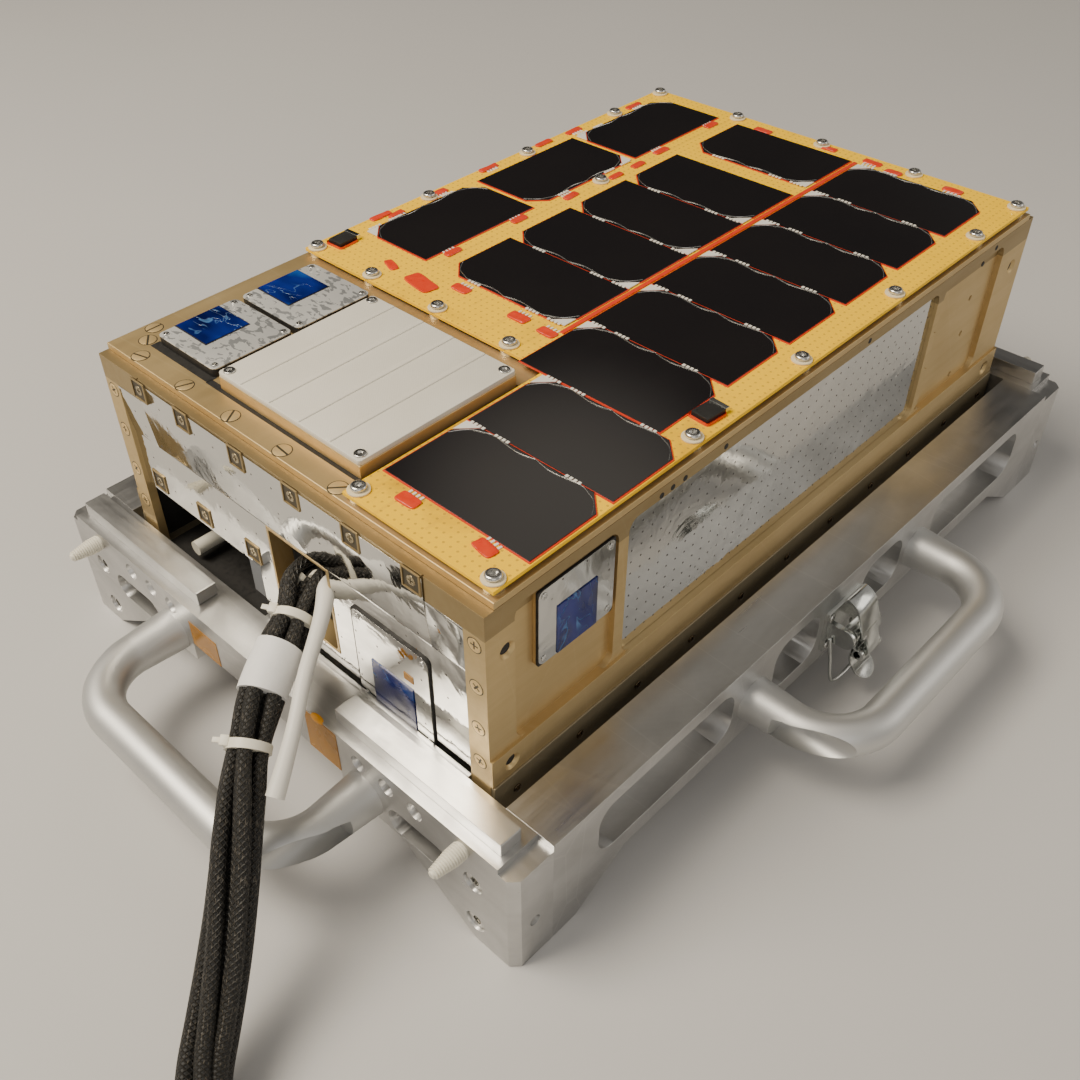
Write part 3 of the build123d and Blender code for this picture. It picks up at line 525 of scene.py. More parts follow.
class Finish:
    """A material with its shader and the coordinates that its pattern reads."""

    def __init__(self, name, read="Object", **settings):
        self.material = bpy.data.materials.new(name)
        self.material.use_nodes = True
        self.tree = self.material.node_tree
        self.shader = self.tree.nodes["Principled BSDF"]
        self.place = self.node("ShaderNodeTexCoord", {}).outputs[read]
        split = self.node("ShaderNodeSeparateXYZ", {0: self.place})
        self.x, self.y, self.z = [Number(self.tree, output) for output in split.outputs]
        for key, value in settings.items():
            self.shader.inputs[key.replace("_", " ")].default_value = value

    def node(self, kind, inputs, **settings):
        return add_node(self.tree, kind, inputs, **settings)

    def stretched(self, stretch):
        """The coordinates with each axis multiplied."""
        made = self.node("ShaderNodeVectorMath", {0: self.place, 1: stretch}, operation="MULTIPLY")
        return made.outputs[0]

    def noise(self, scale, detail=3.0, rough=0.5, stretch=(1, 1, 1), twist=0.0):
        """Cloudy pattern from 0 to 1."""
        made = self.node("ShaderNodeTexNoise", {
            "Vector": self.stretched(stretch), "Scale": scale, "Detail": detail,
            "Roughness": rough, "Distortion": twist})
        return Number(self.tree, made.outputs[0])

    def grains(self, scale, stretch=(1, 1, 1), feature="F1"):
        """Distance to the nearest grain's middle or edge."""
        made = self.node("ShaderNodeTexVoronoi", {
            "Vector": self.stretched(stretch), "Scale": scale}, feature=feature)
        return Number(self.tree, made.outputs["Distance"])

    def between(self, value, low, high, start=0.0, end=1.0):
        """A value's range brought to another, and held inside it."""
        made = self.node("ShaderNodeMapRange", {
            "Value": value, "From Min": low, "From Max": high, "To Min": start, "To Max": end})
        return Number(self.tree, made.outputs[0])

    def mix(self, factor, first, second):
        """Mix of two colours."""
        made = self.node("ShaderNodeMix", {0: factor, 6: colour(first), 7: colour(second)},
                         data_type="RGBA")
        return made.outputs[2]

    def vary(self, **values):
        """Values or links for the shader's inputs."""
        for key, value in values.items():
            feed(self.tree, value, self.shader.inputs[key.replace("_", " ")])

    def bump(self, height, distance, strength=1.0):
        """Relief on the surface, its distance in metres."""
        made = self.node("ShaderNodeBump", {
            "Height": height, "Distance": distance, "Strength": strength})
        self.tree.links.new(made.outputs[0], self.shader.inputs["Normal"])


def wear(finish, amount=1.0):
    """Light handling marks: broad blotches and a few fine scratches, from 0 to 1."""
    blotch = finish.between(finish.noise(22, 4, 0.6), 0.35, 0.72)
    edge = finish.grains(34, (1, 0.12, 0.4), "DISTANCE_TO_EDGE")
    scratch = finish.between(edge, 0.0, 0.012, 1.0, 0.0)
    return (blotch * 0.6 + scratch * 0.4) * amount


def chromate(name="gold_chromate", depth=1.0):
    """Milled aluminium with a yellow conversion coat; a depth under 1 is darker."""
    f = Finish(name, Metallic=0.82)
    lines = f.noise(260, 4, 0.6, (0.06, 1, 1))
    cloud = f.noise(9, 5, 0.6)
    mark = wear(f)
    tones = [(0.52, 0.37, 0.165), (0.70, 0.53, 0.27), (0.40, 0.27, 0.11), (0.74, 0.61, 0.38)]
    low, high, groove, worn = [dimmed(tone, depth) for tone in tones]
    base = f.mix(f.between(cloud, 0.3, 0.7), low, high)
    base = f.mix(lines * 0.35, base, groove)
    f.vary(Base_Color=f.mix(mark * 0.35, base, worn),
           Roughness=f.between(lines + mark * 0.4, 0.2, 1.2, 0.42, 0.62))
    f.bump(lines, 0.00006, 0.5)
    return f.material


def shaded_bronze(name="dark_anodised", depth=1.0):
    """Painted shade: a dark bronze copy of the chromate for parts that lie in shade, with worn
    corners; a depth under 1 is darker.
    """
    f = Finish(name, Metallic=0.5)
    fine = f.noise(700, 3, 0.6)
    mark = wear(f)
    tones = [(0.20, 0.16, 0.095), (0.29, 0.24, 0.15), (0.40, 0.34, 0.23)]
    low, high, worn = [dimmed(tone, depth) for tone in tones]
    f.vary(Base_Color=f.mix(mark * 0.5, f.mix(fine, low, high), worn),
           Roughness=f.between(fine, 0.2, 0.8, 0.42, 0.6))
    f.bump(fine, 0.00004, 0.4)
    return f.material


def milled(name, along, base=(0.66, 0.655, 0.645)):
    """Bright milled aluminium: fine cutter lines, faint cutter arcs and handling marks."""
    f = Finish(name, Metallic=1.0)
    stretch = (0.05, 1, 1) if along == "X" else (1, 0.05, 1)
    lines = f.noise(420, 3, 0.6, stretch)
    sweep = f.noise(46, 3, 0.5, (0.35, 1, 1) if along == "X" else (1, 0.35, 1), 0.6)
    cutter = ((f.x * f.x + f.y * f.y).root() * 2600 + f.noise(30, 2) * 5).sine() * 0.5 + 0.5
    mark = wear(f)
    shade = f.mix(f.between(sweep, 0.3, 0.7), dimmed(base, 0.74), base)
    smudge = f.between(f.noise(15, 5, 0.65, (1, 1, 1), 0.6), 0.42, 0.66)
    shade = f.mix(smudge * 0.55, shade, dimmed(base, 0.62))
    f.vary(Base_Color=f.mix(mark * 0.4, shade, (0.84, 0.83, 0.81)),
           Roughness=f.between(lines * 0.6 + sweep * 0.5 + smudge * 0.5, 0.2, 1.3, 0.22, 0.52))
    f.bump(lines * 0.7 + cutter * 0.12, 0.00007, 0.5)
    return f.material


def blasted():
    """Bead-blasted handle aluminium."""
    f = Finish("blasted_handle", Metallic=1.0)
    grit = f.noise(2400, 2, 0.6)
    cloud = f.noise(18, 4, 0.55)
    f.vary(Base_Color=f.mix(cloud, (0.60, 0.60, 0.59), (0.70, 0.70, 0.69)),
           Roughness=f.between(grit * 0.5 + cloud * 0.5, 0.2, 0.8, 0.44, 0.58))
    f.bump(grit, 0.00003, 0.5)
    return f.material


def mirror(name, crease=1.0, pitch=5.5):
    """Silvered film: creases, small pock marks and rows of tiny perforations, pitch in mm."""
    f = Finish(name, Metallic=1.0)
    fold = f.noise(28, 3, 0.5, (1, 1, 1), 1.2)
    ripple = f.noise(110, 3, 0.6, (1, 1, 0.6), 0.8)
    speck = f.between(f.grains(150), 0.05, 0.11, 1.0, 0.0) * f.noise(60, 1).above(0.56)
    rough = f.between(ripple + speck * 0.6, 0.3, 1.1, 0.035, 0.16)
    base = f.mix(f.noise(12, 3), (0.58, 0.59, 0.58), (0.72, 0.70, 0.66))
    across = (((f.x + f.y) / (pitch * MM)).fraction() - 0.5).size()
    up = ((f.z / (pitch * MM)).fraction() - 0.5).size()
    hole = (across * across + up * up).root().below(0.45 / pitch)
    base = f.mix(hole * 0.85, base, (0.05, 0.045, 0.04))
    rough = rough + hole * 0.4
    f.vary(Base_Color=f.mix(speck * 0.8, base, (0.12, 0.11, 0.10)), Roughness=rough)
    f.bump(fold * 1.0 + ripple * 0.22, 0.0009 * crease, 0.42)
    return f.material


def board():
    """Golden laminate under amber film: via rows, darker tracks, brown stains."""
    f = Finish("gold_board", Coat_Weight=0.04, Coat_Roughness=0.15, Specular_IOR_Level=0.12)
    across = ((f.x * 300).fraction() - 0.5).size()
    along = ((f.y * 300).fraction() - 0.5).size()
    via = (across * across + along * along).root().below(0.15)
    track = f.between(((f.y * 55).fraction() - 0.5).size(), 0.44, 0.48) * f.noise(25, 1).above(0.5)
    stain = f.between(f.noise(16, 5, 0.65, (1, 1, 1), 0.8), 0.48, 0.74)
    near = f.between(f.x, -0.077, -0.05, 1.0, 0.25)
    base = f.mix(stain * near, (0.98, 0.58, 0.004), (0.52, 0.27, 0.015))
    base = f.mix(track * 0.25, base, (0.62, 0.36, 0.04))
    f.vary(Base_Color=f.mix(via * 0.55, base, (0.33, 0.20, 0.05)),
           Roughness=f.between(f.noise(300, 3), 0.3, 0.7, 0.26, 0.42))
    f.bump(via * -0.6 + f.noise(180, 2) * 0.3, 0.00008, 0.6)
    return f.material


def cell():
    """Near-black cell under cover glass, with fine collector lines."""
    f = Finish("solar_cell", Roughness=0.05, IOR=1.52, Coat_Weight=0.6, Coat_Roughness=0.02)
    finger = ((f.x * 1250).fraction() - 0.5).size().below(0.07)
    tint = f.noise(14, 3)
    base = f.mix(tint, (0.0065, 0.006, 0.008), (0.013, 0.0115, 0.012))
    f.vary(Base_Color=f.mix(finger * 0.35, base, (0.035, 0.032, 0.03)),
           Roughness=f.between(f.noise(60, 4, 0.6), 0.35, 0.75, 0.03, 0.09))
    f.bump(f.noise(7, 2), 0.0006, 0.06)
    return f.material


def rubber():
    """Red-orange silicone."""
    f = Finish("red_silicone", Coat_Weight=0.3, Coat_Roughness=0.15)
    lump = f.noise(320, 3, 0.5)
    f.vary(Base_Color=f.mix(lump, (0.60, 0.028, 0.008), (0.74, 0.06, 0.014)),
           Roughness=f.between(lump, 0.3, 0.7, 0.25, 0.42))
    f.bump(lump, 0.0003, 0.5)
    return f.material


def steel(name="bright_steel", base=(0.78, 0.77, 0.74)):
    """Turned stainless steel, or the same with a thin yellow coat."""
    f = Finish(name, Metallic=1.0)
    fine = f.noise(900, 3, 0.6)
    mark = wear(f)
    f.vary(Base_Color=f.mix(fine, dimmed(base, 0.72), base),
           Roughness=f.between(fine + mark * 0.3, 0.2, 1.0, 0.16, 0.36))
    f.bump(fine, 0.000006, 0.3)
    return f.material


def zinc():
    """Zinc-plated spring steel with soft clouds in the plating."""
    f = Finish("zinc_plate", Metallic=1.0)
    cloud = f.noise(160, 4, 0.6)
    mark = wear(f)
    base = f.mix(f.between(cloud, 0.3, 0.7), (0.50, 0.52, 0.51), (0.70, 0.72, 0.70))
    f.vary(Base_Color=f.mix(mark * 0.4, base, (0.80, 0.79, 0.75)),
           Roughness=f.between(cloud + mark * 0.3, 0.3, 1.0, 0.14, 0.30))
    f.bump(cloud, 0.00004, 0.3)
    return f.material


def laminate():
    """Cream antenna cover with a fine weave."""
    f = Finish("white_laminate")
    warp = (f.x * 5200).sine()
    weft = (f.y * 5200).sine()
    cloud = f.noise(35, 4)
    weave = warp * weft * 0.5 + 0.5
    base = f.mix(cloud, (0.66, 0.62, 0.53), (0.76, 0.73, 0.65))
    f.vary(Base_Color=f.mix(weave * 0.22, base, (0.56, 0.52, 0.43)),
           Roughness=f.between(cloud, 0.3, 0.7, 0.45, 0.6))
    f.bump(weave, 0.00008, 0.5)
    return f.material


def head_silver():
    """Silvered sensor cover with leaf-shaped grey blotches."""
    f = Finish("silver_head", Metallic=0.55)
    blotch = f.between(f.noise(360, 2, 0.5, (1, 0.6, 1), 0.5), 0.54, 0.58)
    broad = f.noise(30, 3)
    base = f.mix(broad, (0.72, 0.72, 0.70), (0.86, 0.86, 0.84))
    f.vary(Base_Color=f.mix(blotch * 0.85, base, (0.20, 0.21, 0.22)),
           Roughness=f.between(blotch + broad, 0.3, 1.4, 0.30, 0.5))
    f.bump(blotch * 0.5 + f.noise(160, 2), 0.00004, 0.3)
    return f.material


def blue_film():
    """Blue protective film, glossy and softly wrinkled, with paler patches."""
    f = Finish("blue_film", Coat_Weight=0.25, Coat_Roughness=0.05, Specular_IOR_Level=0.35)
    crease = f.noise(75, 2, 0.5, (1, 0.5, 0.7))
    patch = f.between(f.noise(48, 2, 0.5, (1, 0.6, 1)), 0.54, 0.64)
    base = f.mix(f.between(crease, 0.35, 0.65), (0.0015, 0.004, 0.050), (0.005, 0.018, 0.20))
    fold = f.between((f.noise(95, 2, 0.5, (1, 0.4, 0.6), 1.5) - 0.5).size(), 0.0, 0.02, 1.0, 0.0)
    streak = fold * f.between(f.noise(60, 2), 0.50, 0.60)
    shade = f.mix(patch * 0.6, base, (0.010, 0.10, 0.38))
    f.vary(Base_Color=f.mix(streak * 0.55, shade, (0.10, 0.30, 0.62)),
           Roughness=f.between(crease, 0.3, 0.7, 0.08, 0.24))
    f.bump(crease + streak * 0.25, 0.0014, 0.7)
    return f.material


def plastic(name, low, high, rough=0.45):
    """Moulded plastic with a faint grain."""
    f = Finish(name, Specular_IOR_Level=0.4)
    grain = f.noise(900, 3, 0.6)
    cloud = f.noise(30, 3)
    f.vary(Base_Color=f.mix(cloud, low, high),
           Roughness=f.between(grain, 0.3, 0.7, rough - 0.06, rough + 0.08))
    f.bump(grain, 0.00006, 0.4)
    return f.material


def braid():
    """Black braided sleeve: crossing flat strands, their crowns lighter and the gaps between them
    darker as painted highlight and shade, with a few pale threads.
    """
    f = Finish("braided_sleeve", read="UV")
    first = ((f.x * 96 + f.y * 8).fraction() - 0.5).size()
    second = ((f.x * 96 - f.y * 8).fraction() - 0.5).size()
    ridge = f.between(first.smaller(second), 0.0, 0.22, 1.0, 0.0)
    fleck = f.between(f.noise(1.0, 2, 0.5, (64, 52, 1)), 0.60, 0.68)
    # Painted highlight and shade: the strands' crowns lighter, the gaps between them near-black
    shade = f.mix(ridge, (0.003, 0.003, 0.003), (0.040, 0.036, 0.030))
    f.vary(Base_Color=f.mix(fleck * 0.35, shade, (0.34, 0.29, 0.22)),
           Roughness=f.between(ridge, 0.0, 1.0, 0.62, 0.34))
    f.bump(ridge, 0.0006, 0.9)
    return f.material


def paper(name="blank_label", low=(0.78, 0.77, 0.75), high=(0.86, 0.85, 0.83)):
    """Matte white sleeve label."""
    f = Finish(name)
    fibre = f.noise(500, 4, 0.6)
    smudge = f.between(f.noise(60, 4, 0.6), 0.5, 0.8)
    f.vary(Base_Color=f.mix(smudge * 0.25, f.mix(fibre, low, high), (0.55, 0.53, 0.5)),
           Roughness=f.between(fibre, 0.3, 0.7, 0.5, 0.7))
    f.bump(fibre, 0.00005, 0.4)
    return f.material


def tape():
    """Amber polyimide tape."""
    f = Finish("amber_tape", Coat_Weight=0.15, Coat_Roughness=0.1, Specular_IOR_Level=0.25)
    wave = f.noise(60, 4, 0.6, (1, 1, 1), 0.8)
    f.vary(Base_Color=f.mix(wave, (0.24, 0.095, 0.002), (0.48, 0.215, 0.005)),
           Roughness=f.between(wave, 0.3, 0.7, 0.18, 0.34))
    f.bump(wave, 0.0005, 0.5)
    return f.material


def black_parts_and_painted_shade():
    """Near-black painted shade inside holes, gaps and outlines, in the bay and under the board;
    also used for the head bodies and film frames.
    """
    f = Finish("dark_recess")
    fine = f.noise(500, 3)
    f.vary(Base_Color=f.mix(fine, (0.006, 0.006, 0.006), (0.018, 0.016, 0.014)),
           Roughness=f.between(fine, 0.3, 0.7, 0.5, 0.8))
    f.bump(fine, 0.00004, 0.4)
    return f.material


MAKERS = {
    "gold_chromate": chromate,
    # Painted shade: a darker copy of the chromate for the top frame and the clip rims, for the
    # shade that they lie in
    "frame_chromate": lambda: chromate("frame_chromate", 0.62),
    # Painted shade: darker bronze for the bottom rails and the base plate, which lie in shade
    "dark_anodised": shaded_bronze,
    "cradle_x": lambda: milled("cradle_aluminium_x", "X"),
    "cradle_y": lambda: milled("cradle_aluminium_y", "Y"),
    "blasted": blasted,
    "end_film": lambda: mirror("silver_film", 1.0, 12.0),
    "sheet_film": lambda: mirror("silver_sheet", 0.6, 5.5),
    "board": board,
    "cell": cell,
    "rubber": rubber,
    "steel": steel,
    "zinc": zinc,
    "laminate": laminate,
    "head": head_silver,
    "film": blue_film,
    "nylon": lambda: plastic("white_nylon", (0.74, 0.70, 0.58), (0.82, 0.78, 0.67), 0.4),
    "grey": lambda: plastic("grey_plastic", (0.30, 0.31, 0.33), (0.38, 0.39, 0.41)),
    "epoxy": lambda: plastic("black_epoxy", (0.012, 0.012, 0.012), (0.024, 0.023, 0.022), 0.5),
    "white": lambda: plastic("white_tube", (0.70, 0.67, 0.60), (0.78, 0.76, 0.70), 0.42),
    "braid": braid,
    "paper": paper,
    "tape": tape,
    "washer": lambda: plastic("cream_washer", (0.70, 0.58, 0.36), (0.80, 0.69, 0.47), 0.35),
    "pale_chromate": lambda: chromate("pale_chromate", 1.3),
    "clip_screw": lambda: steel("clip_screw", (0.46, 0.38, 0.24)),
    # Painted shade: the rail's screws in dark brown steel, for the shade that the rail lies in
    "rail_screw": lambda: steel("rail_screw", (0.20, 0.15, 0.09)),
    # Painted shade: near-black bronze in the clips' wells and in the grooves round the flush screws
    "clip_well": lambda: shaded_bronze("clip_well", 0.28),
    "glue": lambda: plastic("amber_glue", (0.70, 0.26, 0.01), (0.85, 0.40, 0.02), 0.2),
    "diode": lambda: plastic("silver_diode", (0.62, 0.60, 0.55), (0.80, 0.78, 0.72), 0.3),
    # Painted shade: near-black for holes, gaps, outlines, the bay and the sheet under the board
    "recess": black_parts_and_painted_shade,
}
FINISHES = {}


def finish(key):
    """One shared material for each key."""
    if key not in FINISHES:
        FINISHES[key] = MAKERS[key]()
    return FINISHES[key]


# Finish of each CAD node, also of those that a finer piece stands for
NODE_FINISHES = {
    # Painted shade: the top frame takes the darker copy of the chromate
    "frame_chromate": ("top_frame",),
    "gold_chromate": ("deck_plate", "side_panel_near", "side_panel_far",
                      "end_tabs", "antenna_block"),
    # Painted shade: the bottom rails and the base plate in darker bronze than the chromate body
    "dark_anodised": ("bottom_rails", "base_plate"),
    # Painted shade: the equipment block behind the open bay is near-black for the shade inside the
    # bay
    "recess": ("equipment_block",),
    "end_film": ("end_panel_front", "end_panel_rear", "sensor_plates"),
    "sheet_film": ("silver_sheets",),
    "board": ("solar_board",),
    "cell": ("cells_corner_pair", "cells_near_column", "cells_far_column", "cells_edge_row"),
    "steel": ("board_washers", "corner_screws"),
    "zinc": ("latch_bases", "latch_lever_near", "latch_lever_far",
             "latch_claw_near", "latch_claw_far"),
    "head": ("sensor_heads",),
    "laminate": ("antenna_plate",),
    "epoxy": ("board_chips",),
    "braid": ("harness",),
    "film": ("head_films", "plate_films"),
    "nylon": ("bay_rod", "nylon_screws"),
    "grey": ("bay_bracket", "harness_socket", "harness_plug"),
    "cradle_y": ("cradle_bar_front", "cradle_bar_rear", "cradle_ledges"),
    "cradle_x": ("cradle_bar_near", "cradle_bar_far"),
    "blasted": ("handle_front", "handle_rear", "handle_near", "handle_far"),
}

# Edge rounds on the CAD nodes, mm
EDGE_ROUNDS = {
    "deck_plate": 0.4, "top_frame": 0.5, "side_panel_near": 0.4, "side_panel_far": 0.4,
    "bottom_rails": 0.5, "antenna_block": 0.5, "sensor_plates": 0.3, "cradle_bar_front": 0.6,
    "cradle_bar_rear": 0.6, "cradle_bar_near": 0.6, "cradle_bar_far": 0.6, "cradle_ledges": 0.5,
    "end_tabs": 0.25, "solar_board": 0.2, "bay_bracket": 0.5, "board_washers": 0.2,
    "latch_bases": 0.3,
}


class SAT_PG_stage(bpy.types.PropertyGroup):
    """Studio, floor and photo camera."""

    lens: FloatProperty(name="Lens", description="Focal length", default=39.18, unit="CAMERA")
    shift: FloatVectorProperty(name="Shift", description="Lens shift", size=2,
                               default=(0.0315, 0.0113))
    floor_size: FloatProperty(name="Floor size", description="Side of the floor",
                              default=14.0, unit="LENGTH")
    key_power: FloatProperty(name="Key power", description="Power of the key light",
                             default=48.0, unit="POWER")
    fill_power: FloatProperty(name="Fill power", description="Power of the fill light",
                              default=5.0, unit="POWER")
    sky: FloatProperty(name="Sky", description="Strength of the surroundings", default=0.40)


class SAT_PG_screws(bpy.types.PropertyGroup):
    """Sizes of the screws."""

    head_radius: FloatProperty(name="Head radius", description="Radius of a board screw's head",
                               default=0.0030, unit="LENGTH")
    head_height: FloatProperty(name="Head height", description="Height of a board screw's head",
                               default=0.0019, unit="LENGTH")
    washer_radius: FloatProperty(name="Washer radius",
                                 description="Radius of a board screw's washer",
                                 default=0.0042, unit="LENGTH")


class SAT_PG_cells(bpy.types.PropertyGroup):
    """Sizes round the solar cells."""

    margin: FloatProperty(name="Border", description="Width of the red border",
                          default=0.0006, unit="LENGTH")
    wire_radius: FloatProperty(name="Wire radius", description="Radius of the silver wires",
                               default=0.00015, unit="LENGTH")
    tab_pitch: FloatProperty(name="Tab pitch", description="Distance of the welded tabs",
                             default=0.0019, unit="LENGTH")
    stake_height: FloatProperty(name="Stake height", description="Height of the silicone stakes",
                                default=0.0011, unit="LENGTH")


class SAT_PG_harness(bpy.types.PropertyGroup):
    """Sizes of the harness."""

    strands: IntProperty(name="Strands", description="Sleeves round the middle one", default=6)
    strand_radius: FloatProperty(name="Strand radius", description="Radius of one sleeve",
                                 default=0.0034, unit="LENGTH")
    bundle_radius: FloatProperty(name="Bundle radius", description="Radius of the whole bundle",
                                 default=0.0100, unit="LENGTH")
    twist: FloatProperty(name="Twist", description="Turns of the sleeves along the bundle",
                         default=0.3)
    tube_radius: FloatProperty(name="Tube radius", description="Radius of the white tube",
                               default=0.0036, unit="LENGTH")


class SAT_OT_stage(bpy.types.Operator):
    """Make the photo camera, the floor and the studio lights"""

    bl_idname = "satellite.stage"
    bl_label = "Stage"

    def execute(self, context):
        sizes = context.scene.satellite_stage
        self.photo_camera(context, sizes)
        self.floor(context, sizes)
        self.lights(context, sizes)
        context.scene.world = self.surroundings(sizes)
        return {"FINISHED"}

    def photo_camera(self, context, sizes):
        """Camera at the photo's place, turned by its heading, its dip and its roll."""
        heading, down, roll = map(radians, (CAMERA_HEADING, CAMERA_DOWN, CAMERA_ROLL))
        forward = Vector((cos(down) * cos(heading), cos(down) * sin(heading), -sin(down)))
        level = forward.cross(Vector((0, 0, 1))).normalized()
        upright = level.cross(forward)
        right = cos(roll) * level + sin(roll) * upright
        up = -sin(roll) * level + cos(roll) * upright
        data = bpy.data.cameras.new("photo_camera")
        data.lens = sizes.lens
        data.shift_x, data.shift_y = sizes.shift
        data.clip_start = 0.01
        camera = bpy.data.objects.new("photo_camera", data)
        context.scene.collection.objects.link(camera)
        turn = Matrix((right, up, -forward)).transposed()
        camera.matrix_world = Matrix.Translation(Vector(CAMERA_PLACE) * MM) @ turn.to_4x4()
        context.scene.camera = camera

    def floor(self, context, sizes):
        """Plain grey floor."""
        start()
        bpy.ops.mesh.primitive_plane_add(size=sizes.floor_size, location=(0, 0, FLOOR_DROP))
        floor = settle(context.active_object, "studio_floor")
        f = Finish("studio_floor", Specular_IOR_Level=0.25)
        cloud = f.noise(3, 3)
        f.vary(Base_Color=f.mix(cloud, (0.52, 0.51, 0.50), (0.56, 0.55, 0.54)),
               Roughness=f.between(f.noise(400, 2), 0.3, 0.7, 0.55, 0.68))
        floor.data.materials.append(f.material)

    def lights(self, context, sizes):
        """Square lamps that face the object."""
        for name, place, size, power, tint in LIGHTS:
            lamp = bpy.data.lights.new(name, "AREA")
            lamp.size = size
            lamp.energy = getattr(sizes, power)
            lamp.color = tint
            light = bpy.data.objects.new(name, lamp)
            light.location = place
            aim = LIGHTS_AIM - Vector(place)
            light.rotation_euler = aim.to_track_quat("-Z", "Y").to_euler()
            context.scene.collection.objects.link(light)

    def surroundings(self, sizes):
        """Warm studio grey, darker where the cells mirror it, with a glow for the nearest cell."""
        world = bpy.data.worlds.new("studio_world")
        world.use_nodes = True
        tree = world.node_tree
        way = add_node(tree, "ShaderNodeTexCoord", {}).outputs["Generated"]
        dark = self.cone(tree, way, DARK_WAY, DARK_COSINES, STUDIO_TONE, DARK_TONE)
        lit = self.cone(tree, way, GLOW_WAY, GLOW_COSINES, dark, GLOW_TONE)
        sky = tree.nodes["Background"]
        tree.links.new(lit, sky.inputs["Color"])
        sky.inputs["Strength"].default_value = sizes.sky
        return world

    def cone(self, tree, way, axis, cosines, under, over):
        """One tone over another where a way turns towards an axis, between two cosines."""
        facing = add_node(tree, "ShaderNodeVectorMath", {0: way, 1: axis}, operation="DOT_PRODUCT")
        share = add_node(tree, "ShaderNodeMapRange", {
            "Value": facing.outputs["Value"], "From Min": cosines[0], "From Max": cosines[1]},
            interpolation_type="SMOOTHSTEP")
        made = add_node(tree, "ShaderNodeMix", {
            0: share.outputs[0], 6: colour(under), 7: colour(over)}, data_type="RGBA")
        return made.outputs[2]


def eased(share):
    """A share from 0 to 1 with a soft start and end."""
    return share * share * (3 - 2 * share)


def width_at(distance):
    """Share of the harness's full radius at a distance along it, in metres."""
    here = distance / MM
    for (low, first), (high, last) in zip(BUNDLE, BUNDLE[1:]):
        if here <= high:
            return first + (last - first) * eased((here - low) / (high - low))
    return BUNDLE[-1][1]


def parting(distance):
    """Half the distance of the two branches, in metres, at a distance along the harness."""
    gap, low, high = BRANCHES
    share = min(max((distance / MM - low) / (high - low), 0.0), 1.0)
    return gap * MM * (1 - eased(share))


class Run:
    """The harness's smooth line, from its NURBS spline, in metres."""

    def __init__(self):
        route = [Vector(place) * MM for place in HARNESS_ROUTE]
        line = smooth_line(route, "harness_line", resolution=12)
        bpy.context.view_layer.update()
        mesh = bpy.data.meshes.new_from_object(line)
        self.points = [vertex.co.copy() for vertex in mesh.vertices]
        bpy.data.objects.remove(line)
        bpy.data.meshes.remove(mesh)
        self.distances = [0.0]
        for before, here in zip(self.points, self.points[1:]):
            self.distances.append(self.distances[-1] + (here - before).length)
        ahead = [*self.points[1:], self.points[-1]]
        behind = [self.points[0], *self.points[:-1]]
        self.axes = [self.axes_of(after - before) for before, after in zip(behind, ahead)]

    def axes_of(self, ahead):
        """Level and upward axes across a way."""
        ahead.normalize()
        side = ahead.cross(Vector((0, 0, 1))).normalized()
        return side, side.cross(ahead)

    def nearest(self, target):
        """Index of the point nearest a distance along the line, in millimetres."""
        return min(range(len(self.points)), key=lambda k: abs(self.distances[k] - target * MM))

    def turned(self, index):
        """Turn of a piece whose X runs along the line and whose Y is its level axis."""
        side, above = self.axes[index]
        return Matrix((above.cross(side), side, above)).transposed().to_4x4()

    def stretch(self, middle, length):
        """Points of the line within a band, given in millimetres."""
        low, high = middle * MM - length * MM / 2, middle * MM + length * MM / 2
        inside = [point for point, distance in zip(self.points, self.distances)
                  if low < distance < high]
        ends = []
        for target in (low, high):
            index = next(k for k in range(1, len(self.points)) if self.distances[k] >= target)
            before, after = self.distances[index - 1:index + 1]
            share = (target - before) / (after - before)
            ends.append(self.points[index - 1].lerp(self.points[index], share))
        return [ends[0], *inside, ends[-1]]


